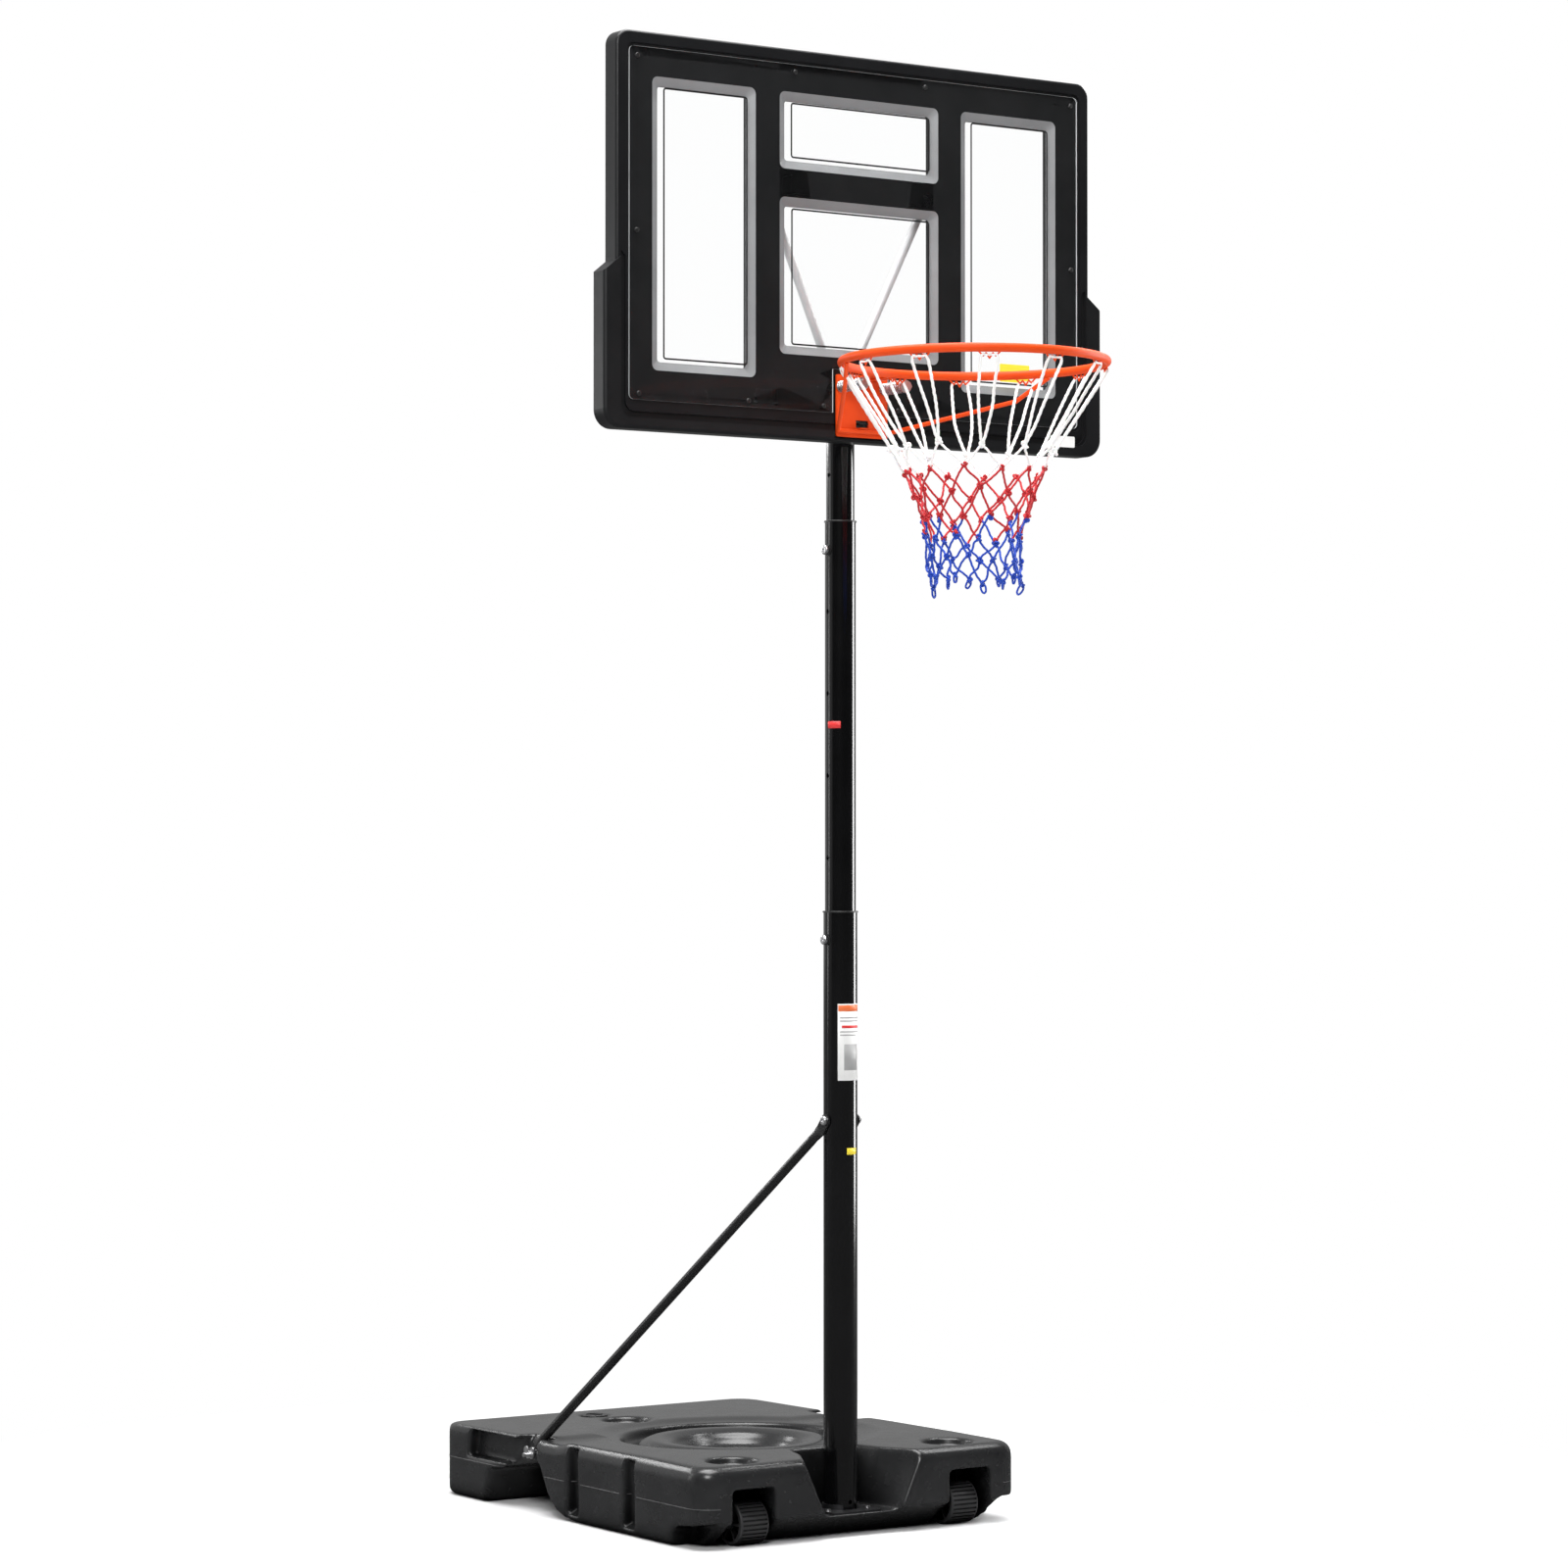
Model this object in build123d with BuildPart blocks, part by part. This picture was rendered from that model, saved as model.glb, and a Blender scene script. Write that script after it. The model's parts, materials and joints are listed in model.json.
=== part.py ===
# Portable basketball hoop on a wheeled, fillable base.
# Frame: origin on the floor under the pole axis, +X to the player's right,
# -Y towards the player (the rim side), +Y towards the back of the base, +Z up.
# Units: millimetres.
from build123d import *
import os

os.makedirs("parts", exist_ok=True)

SIDES = (("left", -1), ("right", 1))
BOLT_R = 4.0          # pole, lock and stay bolts

# base tank
BASE_HALF_X = 360.0
BASE_FRONT_Y = -80.0
BASE_REAR_Y = 865.0
BASE_H = 150.0
BASE_REAR_H = 139.0
BASE_CORNER_R = 48.0
TANK_WALL = 5.0
NOTCH_FLOOR_Z = 42.0
SIDE_NOTCH_DEPTH = 150.0
HANDLE_DEPTH = 24.0
GROOVE_YS = (367.0, 169.0)
CUTTER_OVER = 30.0    # how far the side cutters start outside the tank

DISH_Y = 350.0
DISH_BOWL_R = 125.0
DISH_CREST_R = 160.0
DISH_RING_R = 192.0
DISH_VALLEY_R = 232.0
DISH_VALLEY_Z = 116.0

CUP_FLOOR_R = 44.0
CUPS = ((-243.0, -2.0, 16.0), (243.0, -2.0, 16.0), (-50.0, 672.0, 24.0))  # x, y, depth

# filler
FILL_CAP = (-62.0, 770.0)
FILL_SEAT_Z = 133.0
FILL_SEAL_T = 2.0
FILL_CAP_Z = FILL_SEAT_Z + FILL_SEAL_T
FILL_SKIRT_R = 20.0

# wheels
WHEEL_X, WHEEL_Y, WHEEL_R, WHEEL_W = 236.0, -30.0, 40.0, 62.0
AXLE_R = 5.0
AXLE_BORE_R = 5.07
AXLE_ENTRY = 13.0     # how far an axle enters the tank beside the arch
ARCH_X0, ARCH_X1, ARCH_TOP, ARCH_BACK = 197.0, 289.0, 106.0, 22.0

# foot plate
FOOT_Y = -24.0
FOOT_SCREWS = ((-44.0, FOOT_Y), (44.0, FOOT_Y))
FOOT_SCREW_R = 2.5
FOOT_PLATE_T = 2.5

# pole tubes
WALL = 1.6
LOW_R, MID_R, UP_R = 31.5, 28.75, 26.25
LOW_Z0, LOW_Z1 = 23.0, 1148.0
MID_Z0, MID_Z1 = 1075.0, 1874.0
UP_Z0, UP_Z1 = 1250.0, 2172.0
LOW_LOCK_Z, UP_LOCK_Z = 1097.4, 1821.5
MID_PITCH, UP_PITCH = 152.4, 139.7
RUN = 0.06            # running clearance of bushes and glide rings
LOCK_WASHER_T = 1.5

# flattened-end tubes: the stays and the struts
FLAT_T = 4.0
FLAT_BLEND = 26.0     # length of the change from flat to round
STRUT_WALL = 1.3
STAY_TOP_Z = 762.0
STAY_X, STAY_FOOT = 338.0, (547.0, 108.0)   # lower bolt hole: x, (y, z)
STAY_R = 9.0
STAY_SEAT_X = LOW_R + 4.1
STRUT_R = 8.0
STRUT_X, STRUT_Y, STRUT_Z = 181.0, -18.0, 2486.0   # bolt hole at the board
STRUT_BOLT_R = 3.0

# backboard
FRAME_HALF = 533.0
FRAME_Z0, FRAME_Z1 = 2031.0, 2733.0
FRAME_CORNER_R = 27.0
FRAME_FRONT, FRAME_BACK = -68.0, -30.0
PANEL_Y = -64.0
PANEL_SKIN = 6.0
GUARD_HALF = 560.0
GUARD_Z0 = 2017.0
GUARD_FRONT = -72.0
SHEET_T = 3.0
BEVEL_W, BEVEL_D = 17.0, 9.0
PAD_HALF, PAD_Z0, PAD_Z1 = 62.0, 2022.0, 2150.0    # flat for the rim's bracket
PLATE_Z, PLATE_W, PLATE_H, PLATE_T = 2097.5, 150.0, 125.0, 4.0

# boxes on the board: x0, x1, z0, z1
FRAME_BOX = (-FRAME_HALF, FRAME_HALF, FRAME_Z0, FRAME_Z1)
SHEET_BOX = (-505.0, 505.0, 2070.0, 2705.0)
WINDOWS = (
    (-456.0, -231.0, 2124.0, 2655.0),
    (231.0, 456.0, 2124.0, 2655.0),
    (-180.0, 180.0, 2511.5, 2655.0),
    (-180.0, 180.0, 2171.5, 2461.5),
)
POCKETS = (
    (-510, -462, 2046, 2718), (462, 510, 2046, 2718),
    (-456, -231, 2663, 2718), (231, 456, 2663, 2718), (-180, 180, 2663, 2718),
    (-456, -231, 2046, 2116), (231, 456, 2046, 2116),
    (-225, -186, 2530, 2718), (186, 225, 2530, 2718),
    (-225, -186, 2046, 2440), (186, 225, 2046, 2440),
    (-180, -86, 2046, 2163), (86, 180, 2046, 2163),
    (-150, 150, 2469, 2504),
)

# fastener centres on the board: x, z
SHEET_SCREWS = [(side * x, z) for side in (-1, 1) for x, z in
                ((489, 2688), (147, 2691), (490, 2374), (486, 2081), (250, 2081), (84, 2081))]
SHEET_SCREW_R = 2.0
SPRING_X, SPRING_Z = 48.0, 2118.0
SPRINGS = ((-SPRING_X, SPRING_Z), (SPRING_X, SPRING_Z))
STUDS = ((-44.0, 2060.0), (44.0, 2060.0))
STUD_R = 4.0
STRUT_ENDS = ((-STRUT_X, STRUT_Z), (STRUT_X, STRUT_Z))

# bracket at the pole head
CHEEK_IN, CHEEK_OUT, CHEEK_REAR = 26.4, 29.4, 18.0
WEB_HALF, WEB_BACK = 60.0, -26.4
HEAD_Z0, HEAD_H = 2035.0, 130.0
HEAD_BOLTS = ((2062.0, 29.5), (2150.0, 33.6))    # z, x of the seat under head and nut
HEAD_HEX_R = 7.4

# rim
RIM_Y, RIM_Z = -419.6, 2134.5
RIM_R, RIM_ROD = 236.5, 8.0
RIM_AXIS = Axis((0, RIM_Y, 0), (0, 0, 1))
MOUNT_T = 3.0
FLANGE_HALF, FLANGE_Z0, FLANGE_Z1, FLANGE_T = 57.0, 2026.0, 2141.0, 4.0
FLANGE_BACK = PANEL_Y - MOUNT_T
FLANGE_FRONT = FLANGE_BACK - FLANGE_T
BRACE_ROD = 4.0
HOOK_WIRE = 1.5
HOOK_COUNT = 12

# breakaway springs
SPRING_L = 70.0
SPRING_R, SPRING_WIRE, SPRING_COILS = 9.9, 1.4, 11
SPRING_BOLT_R = 5.0
SPRING_HOLE_R = 5.2
SPRING_WASHER_T = 2.0
SPRING_SEAT_Y = FLANGE_FRONT - SPRING_L


# ---------------------------------------------------------------- helpers
def at_x(x):
    """Plane facing +X; sketch coordinates are (y, z)."""
    return Plane.YZ.offset(x)


def at_y(y):
    """Plane facing the player (-Y); sketch coordinates are (x, z)."""
    return Plane.XZ.offset(-y)


def at_z(z):
    """Plane facing up; sketch coordinates are (x, y)."""
    return Plane.XY.offset(z)


def save(part, name):
    part.label = name
    export_step(part, f"parts/{name}.step")


def rounded_box(box, radius, grow=0.0):
    """Draw the rounded rectangle (x0, x1, z0, z1) in the current sketch."""
    x0, x1, z0, z1 = box
    with Locations(((x0 + x1) / 2, (z0 + z1) / 2)):
        RectangleRounded(x1 - x0 + 2 * grow, z1 - z0 + 2 * grow, radius)


def round_stock(seats, outer, inner=0.0):
    """Rods, or rings when inner is given; a seat is (plane, length, centre, ...)."""
    with BuildPart() as stock:
        for plane, length, *centres in seats:
            with BuildSketch(plane):
                with Locations(*centres):
                    Circle(outer)
                    if inner:
                        Circle(inner, mode=Mode.SUBTRACT)
            extrude(amount=length)
    return stock.part


def hex_nuts(seats, size, bore):
    """Hexagon nuts; a seat is (plane, height, centre, ...)."""
    with BuildPart() as nuts:
        for plane, height, *centres in seats:
            with BuildSketch(plane):
                with Locations(*centres):
                    RegularPolygon(size, 6)
                    Circle(bore, mode=Mode.SUBTRACT)
            extrude(amount=height)
    return nuts.part


def dome_bolt(z, seat, shank, socket_start, socket_depth):
    """Bolt along X with a domed head to the left of x = -seat.
    The socket cut starts socket_start beyond the seat."""
    with BuildPart() as bolt:
        with BuildSketch(at_x(-seat)):
            with Locations((0, z)):
                Circle(BOLT_R)
        extrude(amount=shank)
        with BuildSketch(at_x(-seat)):
            with Locations((0, z)):
                Circle(9)
        extrude(amount=-5.5)
        fillet(faces().sort_by(Axis.X)[0].edges(), 3.2)
        with BuildSketch(at_x(-seat - socket_start)):
            with Locations((0, z)):
                RegularPolygon(3.4, 6)
        extrude(amount=socket_depth, mode=Mode.SUBTRACT)
    return bolt.part


def flattened_tube(start, end, start_normal, end_normal, radius, start_reach, end_reach, width):
    """Round tube with flattened ends. start and end are the bolt hole centres, the
    normals are unit vectors across each flat, and a reach is a flat's length."""
    a, b = Vector(*start), Vector(*end)
    run = (b - a).normalized()
    normal_a, normal_b = Vector(*start_normal), Vector(*end_normal)
    along_a = (run - normal_a * run.dot(normal_a)).normalized()
    along_b = (run * -1 - normal_b * (run * -1).dot(normal_b)).normalized()
    flat_a, flat_b = a + along_a * start_reach, b + along_b * end_reach
    axis = (flat_b - flat_a).normalized()
    round_a, round_b = flat_a + axis * FLAT_BLEND, flat_b - axis * FLAT_BLEND
    round_length = (round_b - round_a).length
    ends = (
        (a, normal_a, along_a, flat_a, round_a, start_reach, axis),
        (b, normal_b, along_b, flat_b, round_b, end_reach, axis * -1),
    )
    with BuildPart() as tube:
        for hole, normal, along, flat_end, round_end, reach, inward in ends:
            with BuildSketch(Plane(origin=hole - normal * (FLAT_T / 2), x_dir=along, z_dir=normal)):
                Circle(width / 2)
                with Locations((reach / 2, 0)):
                    Rectangle(reach, width)
            extrude(amount=FLAT_T)
            # blend from the flat to the round tube
            with BuildSketch(Plane(origin=flat_end, x_dir=normal, z_dir=along)):
                Rectangle(FLAT_T, width)
            x_round = normal - inward * normal.dot(inward)
            with BuildSketch(Plane(origin=round_end, x_dir=x_round, z_dir=inward)):
                Circle(radius)
            loft()
        with BuildSketch(Plane(origin=round_a, z_dir=axis)):
            Circle(radius)
        extrude(amount=round_length)
        for hole, normal in ((a, normal_a), (b, normal_b)):
            with BuildSketch(Plane(origin=hole - normal * 30, z_dir=normal)):
                Circle(BOLT_R)
            extrude(amount=60, mode=Mode.SUBTRACT)
        # tube bore, and the vent hole that galvanised tube needs
        with BuildSketch(Plane(origin=round_a + axis * 2, z_dir=axis)):
            Circle(radius - STRUT_WALL)
        extrude(amount=round_length - 4, mode=Mode.SUBTRACT)
        side = Vector(0, 1, 0)
        side = (side - axis * side.dot(axis)).normalized()
        with BuildSketch(Plane(origin=round_b - axis * 12, z_dir=side)):
            Circle(1.5)
        extrude(amount=radius + 2, mode=Mode.SUBTRACT)
    return tube.part


def bent_rod(points, radius, cutter):
    """Round rod through the points, with balls at the bends, cut clear of the cutter."""
    with BuildPart() as rod:
        for start, end in zip(points[:-1], points[1:]):
            run = Vector(*end) - Vector(*start)
            with BuildSketch(Plane(origin=start, z_dir=run.normalized())):
                Circle(radius)
            extrude(amount=run.length)
        with Locations(*points[1:-1]):
            Sphere(radius)
        add(cutter, mode=Mode.SUBTRACT)
    return rod.part


# ---------------------------------------------------------------- base tank
def tank_cutters(grow):
    """Everything that is moulded into the tank, grown for the inner skin."""
    # side outlines, (y, z): notch, handle recess, stay pocket
    side_notch = (
        (700 + grow, -20), (680 + grow, 66 + grow), (620 + grow, 78 + grow),
        (585 + grow, 96 + grow), (492 - grow, 96 + grow), (468 - grow, 54 + grow),
        (452 - grow, 34 + grow), (428 - grow, 16 + grow), (396 - grow, 5 + grow),
        (345 - grow, -2 + grow), (345 - grow, -20),
    )
    handle = ((758 + grow, 84 - grow), (752 + grow, 136 + grow),
              (566 - grow, 136 + grow), (566 - grow, 84 - grow))
    stay_pocket = ((584 + grow, 60), (572 + grow, 175), (498 - grow, 175), (506 - grow, 60))
    side_cuts = ((SIDE_NOTCH_DEPTH, side_notch), (HANDLE_DEPTH, handle),
                 (HANDLE_DEPTH, stay_pocket))
    # dish section, (radius, z): bowl, crest, ring, valley
    dish = (
        (0, 108 - grow), (DISH_BOWL_R - 22 + grow, 108 - grow),
        (DISH_BOWL_R + grow, 136 - grow), (DISH_CREST_R - 14, 143 - grow),
        (DISH_CREST_R + 8, 143 - grow), (DISH_RING_R - 4 - grow, 134 - grow),
        (DISH_RING_R + 3 - grow, DISH_VALLEY_Z - grow),
        (DISH_VALLEY_R - 18 + grow, DISH_VALLEY_Z - grow),
        (DISH_VALLEY_R + 4 + grow, 172), (0, 172),
    )
    with BuildPart() as cut:
        # lifted underside at the front, so that the hoop tips onto its wheels
        with BuildSketch(at_x(-(BASE_HALF_X + 40))):
            with BuildLine():
                Polyline((-10 + grow, -40), (-10 + grow, grow), (-90, 55 + grow),
                         (-160, 102 + grow), (-160, -40), close=True)
            make_face()
        extrude(amount=2 * (BASE_HALF_X + 40))
        # the outer front corners step up further
        for side in (-1, 1):
            with BuildSketch(at_x(side * (ARCH_X1 + 22 - grow))):
                with BuildLine():
                    Polyline((26 + grow, -40), (22 + grow, 20 + grow), (10 + grow, 36 + grow),
                             (-30, 42 + grow), (-80, 50 + grow), (-160, 62 + grow),
                             (-160, -40), close=True)
                make_face()
            extrude(amount=side * 140)
        # wheel arches
        for side in (-1, 1):
            with BuildSketch(at_z(-40)):
                with Locations((side * (ARCH_X0 + ARCH_X1) / 2, (ARCH_BACK - 120) / 2)):
                    Rectangle(ARCH_X1 - ARCH_X0 + 2 * grow, ARCH_BACK + 120 + 2 * grow)
            extrude(amount=ARCH_TOP + 40 + grow)
        # pole notch, wider at the top
        with BuildSketch(at_z(NOTCH_FLOOR_Z - grow)):
            with BuildLine():
                Polyline((-84 - grow, -140), (-84 - grow, -80), (-64 - grow, 0),
                         (-46 - grow, 46 + grow), (46 + grow, 46 + grow), (64 + grow, 0),
                         (84 + grow, -80), (84 + grow, -140), close=True)
            make_face()
        with BuildSketch(at_z(BASE_H + 12)):
            with BuildLine():
                Polyline((-142 - grow, -140), (-142 - grow, -80), (-92 - grow, 0),
                         (-72 - grow, 64 + grow), (72 + grow, 64 + grow), (92 + grow, 0),
                         (142 + grow, -80), (142 + grow, -140), close=True)
            make_face()
        loft()
        # side notch and handle recess with the stay pocket, both sides
        for side in (-1, 1):
            for depth, outline in side_cuts:
                with BuildSketch(at_x(side * (BASE_HALF_X + CUTTER_OVER))):
                    with BuildLine():
                        Polyline(*outline, close=True)
                    make_face()
                extrude(amount=-side * (CUTTER_OVER + depth + grow))
            # the pocket's wall leans in, to let the stay pass
            with BuildSketch(at_y(572 + grow)):
                with BuildLine():
                    Polyline((side * 345, 108 - grow), (side * (336 - grow), 108 - grow),
                             (side * (296 - grow), 176), (side * 345, 176), close=True)
                make_face()
            extrude(amount=76 + 2 * grow)
        # two upright grooves in each flank
        for side in (-1, 1):
            for groove_y in GROOVE_YS:
                with BuildSketch(at_z(14 - grow)):
                    with Locations((side * (BASE_HALF_X + 20), groove_y)):
                        Rectangle(72 + 2 * grow, 38 + 2 * grow)
                extrude(amount=124 + 2 * grow, taper=2)
        # cup recesses over the wheels and behind the dish
        for x, y, depth in CUPS:
            with BuildSketch(at_z(BASE_H - depth - grow)):
                with Locations((x, y)):
                    Circle(CUP_FLOOR_R + grow)
            extrude(amount=60, taper=-18)
        # valley around the dish, the ring itself and the bowl
        with BuildSketch(at_y(DISH_Y)):
            with BuildLine():
                Polyline(*dish, close=True)
            make_face()
        revolve(axis=Axis((0, DISH_Y, 0), (0, 0, 1)))
        # top falls slightly towards the rear
        with BuildSketch(at_x(-(BASE_HALF_X + 40))):
            with BuildLine():
                Polyline((120, BASE_H - grow), (BASE_REAR_Y + 40, BASE_REAR_H - 1 - grow),
                         (BASE_REAR_Y + 40, BASE_H + 60), (120, BASE_H + 60), close=True)
            make_face()
        extrude(amount=2 * (BASE_HALF_X + 40))
    return cut.part


def base_corners(inset):
    """Corners of the tank's plan, moved in by inset."""
    x = BASE_HALF_X - inset
    front, rear = BASE_FRONT_Y + inset, BASE_REAR_Y - inset
    return (-x, front), (x, front), (x, rear), (-x, rear)


def tank_cavity():
    """The hollow of the tank."""
    with BuildPart() as cavity:
        with BuildSketch(at_z(TANK_WALL)):
            with BuildLine():
                Polyline(*base_corners(TANK_WALL + 4), close=True)
            make_face()
            fillet(vertices(), BASE_CORNER_R - TANK_WALL)
        extrude(amount=BASE_H - 2 * TANK_WALL - 4)
        add(tank_cutters(TANK_WALL), mode=Mode.SUBTRACT)
        # solid bosses around the stay studs, axle bores, pole socket and filler neck
        for side in (-1, 1):
            with BuildSketch(at_z(0)):
                with Locations((side * 300, STAY_FOOT[0]), (side * (ARCH_X1 + 8), WHEEL_Y),
                               (side * (ARCH_X0 - 8), WHEEL_Y)):
                    Rectangle(62, 52)
            extrude(amount=160, mode=Mode.SUBTRACT)
        with BuildSketch(Plane.XY):
            Circle(LOW_R + 9)
        extrude(amount=160, mode=Mode.SUBTRACT)
        with BuildSketch(at_z(96)):
            with Locations(FILL_CAP):
                Circle(34)
        extrude(amount=80, mode=Mode.SUBTRACT)
    return cavity.part


def base_tank():
    outer_cut = tank_cutters(0.0)
    cavity = tank_cavity()
    with BuildPart() as tank:
        with BuildSketch():
            with BuildLine():
                Polyline(*base_corners(0), close=True)
            make_face()
            fillet(vertices(), BASE_CORNER_R)
        extrude(amount=BASE_H)
        fillet(faces().sort_by(Axis.Z)[-1].edges(), 25)
        fillet(faces().sort_by(Axis.Z)[0].edges(), 15)
        add(outer_cut, mode=Mode.SUBTRACT)
        add(cavity, mode=Mode.SUBTRACT)
        # pole socket
        with BuildSketch(at_z(LOW_Z0)):
            Circle(LOW_R + 0.1)
        extrude(amount=60, mode=Mode.SUBTRACT)
        # axle bores
        for side in (-1, 1):
            with BuildSketch(at_x(side * (ARCH_X0 - AXLE_ENTRY - 1))):
                with Locations((WHEEL_Y, WHEEL_R)):
                    Circle(AXLE_R)
            extrude(amount=side * (ARCH_X1 - ARCH_X0 + 2 * (AXLE_ENTRY + 1)), mode=Mode.SUBTRACT)
        # stay stud holes
        for side in (-1, 1):
            with BuildSketch(at_x(side * (STAY_X - 36))):
                with Locations(STAY_FOOT):
                    Circle(BOLT_R)
            extrude(amount=side * 60, mode=Mode.SUBTRACT)
        # filler neck: flat seat for the seal, and the hole into the tank
        with BuildSketch(at_z(FILL_SEAT_Z)):
            with Locations(FILL_CAP):
                Circle(30)
        extrude(amount=60, mode=Mode.SUBTRACT)
        with BuildSketch(at_z(60)):
            with Locations(FILL_CAP):
                Circle(FILL_SKIRT_R + 0.1)
        extrude(amount=100, mode=Mode.SUBTRACT)
        # screw holes of the foot plate
        with BuildSketch(at_z(NOTCH_FLOOR_Z - 14)):
            with Locations(*FOOT_SCREWS):
                Circle(FOOT_SCREW_R)
        extrude(amount=20, mode=Mode.SUBTRACT)
    return tank.part


def fill_cap():
    """Cap with a grip bar across its round recess and a skirt into the neck."""
    with BuildPart() as cap:
        with BuildSketch(at_z(FILL_CAP_Z)):
            with Locations(FILL_CAP):
                Circle(26)
        extrude(amount=7)
        fillet(faces().sort_by(Axis.Z)[-1].edges(), 2)
        with BuildSketch(at_z(FILL_CAP_Z + 4)):
            with Locations(FILL_CAP):
                Circle(17)
                Rectangle(30, 6, mode=Mode.SUBTRACT)
        extrude(amount=6, mode=Mode.SUBTRACT)
        with BuildSketch(at_z(FILL_CAP_Z - 20)):
            with Locations(FILL_CAP):
                Circle(FILL_SKIRT_R)
                Circle(FILL_SKIRT_R - 3, mode=Mode.SUBTRACT)
        extrude(amount=20)
    return cap.part


save(base_tank(), "base_tank")
save(fill_cap(), "fill_cap")
save(round_stock([(at_z(FILL_SEAT_Z), FILL_SEAL_T, FILL_CAP)], 25, FILL_SKIRT_R + 0.3),
     "fill_cap_seal")


# ---------------------------------------------------------------- wheels
def wheel_plane(x):
    """Plane facing +X, centred on the wheel axis."""
    return Plane(origin=(x, WHEEL_Y, WHEEL_R), x_dir=(0, 1, 0), z_dir=(1, 0, 0))


def wheel(side):
    middle = wheel_plane(side * WHEEL_X)
    with BuildPart() as part:
        with BuildSketch(middle):
            Circle(WHEEL_R)
        extrude(amount=WHEEL_W / 2, both=True)
        fillet(edges().filter_by(GeomType.CIRCLE), 4)
        # sides hollowed around a hub and six spokes (three full-width bars)
        for face in (-1, 1):
            with BuildSketch(wheel_plane(side * WHEEL_X + face * (WHEEL_W / 2 - 12))):
                Circle(WHEEL_R - 8)
                Circle(11, mode=Mode.SUBTRACT)
                for k in range(3):
                    with Locations(Rotation(0, 0, 60 * k)):
                        Rectangle(2 * WHEEL_R, 4, mode=Mode.SUBTRACT)
            extrude(amount=face * 20, mode=Mode.SUBTRACT)
        # straight tread grooves
        with BuildSketch(middle):
            with PolarLocations(WHEEL_R, 30):
                Rectangle(4.4, 3.4)
        extrude(amount=WHEEL_W / 2 - 5, both=True, mode=Mode.SUBTRACT)
        with BuildSketch(middle):
            Circle(AXLE_BORE_R)
        extrude(amount=WHEEL_W, both=True, mode=Mode.SUBTRACT)
    return part.part


for side_name, side in SIDES:
    save(wheel(side), f"wheel_{side_name}")

axle_seats = [(wheel_plane(side * (ARCH_X0 - AXLE_ENTRY)),
               side * (ARCH_X1 - ARCH_X0 + 2 * AXLE_ENTRY), (0, 0)) for side in (-1, 1)]
save(round_stock(axle_seats, AXLE_R), "wheel_axles")

# a spacer on each side of each wheel, 0.4 clear at both ends
spacer_spans = ((ARCH_X0 + 0.4, WHEEL_X - WHEEL_W / 2 - 0.4),
                (WHEEL_X + WHEEL_W / 2 + 0.4, ARCH_X1 - 0.4))
spacer_seats = [(wheel_plane(side * x0), side * (x1 - x0), (0, 0))
                for side in (-1, 1) for x0, x1 in spacer_spans]
save(round_stock(spacer_seats, 9, AXLE_R), "wheel_spacers")


# ---------------------------------------------------------------- pole foot
def foot_plate():
    """Plate around the pole with a low collar, open at the front."""
    bore = LOW_R + 0.4
    with BuildPart() as plate:
        with BuildSketch(at_z(NOTCH_FLOOR_Z)):
            with Locations((0, FOOT_Y)):
                RectangleRounded(110, 72, 8)
            Circle(bore, mode=Mode.SUBTRACT)
            with Locations(*FOOT_SCREWS):
                Circle(FOOT_SCREW_R + 0.1, mode=Mode.SUBTRACT)
        extrude(amount=FOOT_PLATE_T)
        with BuildSketch(at_z(NOTCH_FLOOR_Z + FOOT_PLATE_T)):
            Circle(LOW_R + 2.6)
            Circle(bore, mode=Mode.SUBTRACT)
            with Locations((0, -LOW_R)):
                Rectangle(30, 30, mode=Mode.SUBTRACT)
        extrude(amount=9)
    return plate.part


def foot_screws():
    with BuildPart() as screws:
        for centre in FOOT_SCREWS:
            with BuildSketch(at_z(NOTCH_FLOOR_Z - 4)):
                with Locations(centre):
                    Circle(FOOT_SCREW_R)
            extrude(amount=4 + FOOT_PLATE_T)
            with BuildSketch(at_z(NOTCH_FLOOR_Z + FOOT_PLATE_T)):
                with Locations(centre):
                    Circle(5.5)
            extrude(amount=3.2, taper=12)
    return screws.part


save(foot_plate(), "foot_plate")
save(foot_screws(), "foot_plate_screws")


# ---------------------------------------------------------------- pole
def pole_tube(z0, z1, radius, left_holes, through_zs=(), front_zs=()):
    """Tube with holes in its left wall (z, radius), through both side walls, and in front."""
    with BuildPart() as tube:
        with BuildSketch(at_z(z0)):
            Circle(radius)
            Circle(radius - WALL, mode=Mode.SUBTRACT)
        extrude(amount=z1 - z0)
        for z in front_zs:
            with BuildSketch(at_y(0)):
                with Locations((0, z)):
                    Circle(4)
            extrude(amount=60, mode=Mode.SUBTRACT)
        for z, hole_radius in left_holes:
            with BuildSketch(at_x(-60)):
                with Locations((0, z)):
                    Circle(hole_radius)
            extrude(amount=60, mode=Mode.SUBTRACT)
        for z in through_zs:
            with BuildSketch(at_x(-60)):
                with Locations((0, z)):
                    Circle(BOLT_R)
            extrude(amount=120, mode=Mode.SUBTRACT)
    return tube.part


def lower_foot_plug():
    with BuildPart() as plug:
        with BuildSketch(at_z(LOW_Z0)):
            Circle(LOW_R - WALL - 0.05)
        extrude(amount=16)
        with BuildSketch(at_z(LOW_Z0 + 3)):
            Circle(LOW_R - WALL - 3)
        extrude(amount=16, mode=Mode.SUBTRACT)
    return plug.part


def upper_tube_cap():
    with BuildPart() as cap:
        with BuildSketch(at_z(UP_Z1)):
            Circle(UP_R)
        extrude(amount=3)
        fillet(faces().sort_by(Axis.Z)[-1].edges(), 1.5)
        with BuildSketch(at_z(UP_Z1)):
            Circle(UP_R - WALL - 0.05)
            Circle(UP_R - WALL - 2.5, mode=Mode.SUBTRACT)
        extrude(amount=-12)
    return cap.part


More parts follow.
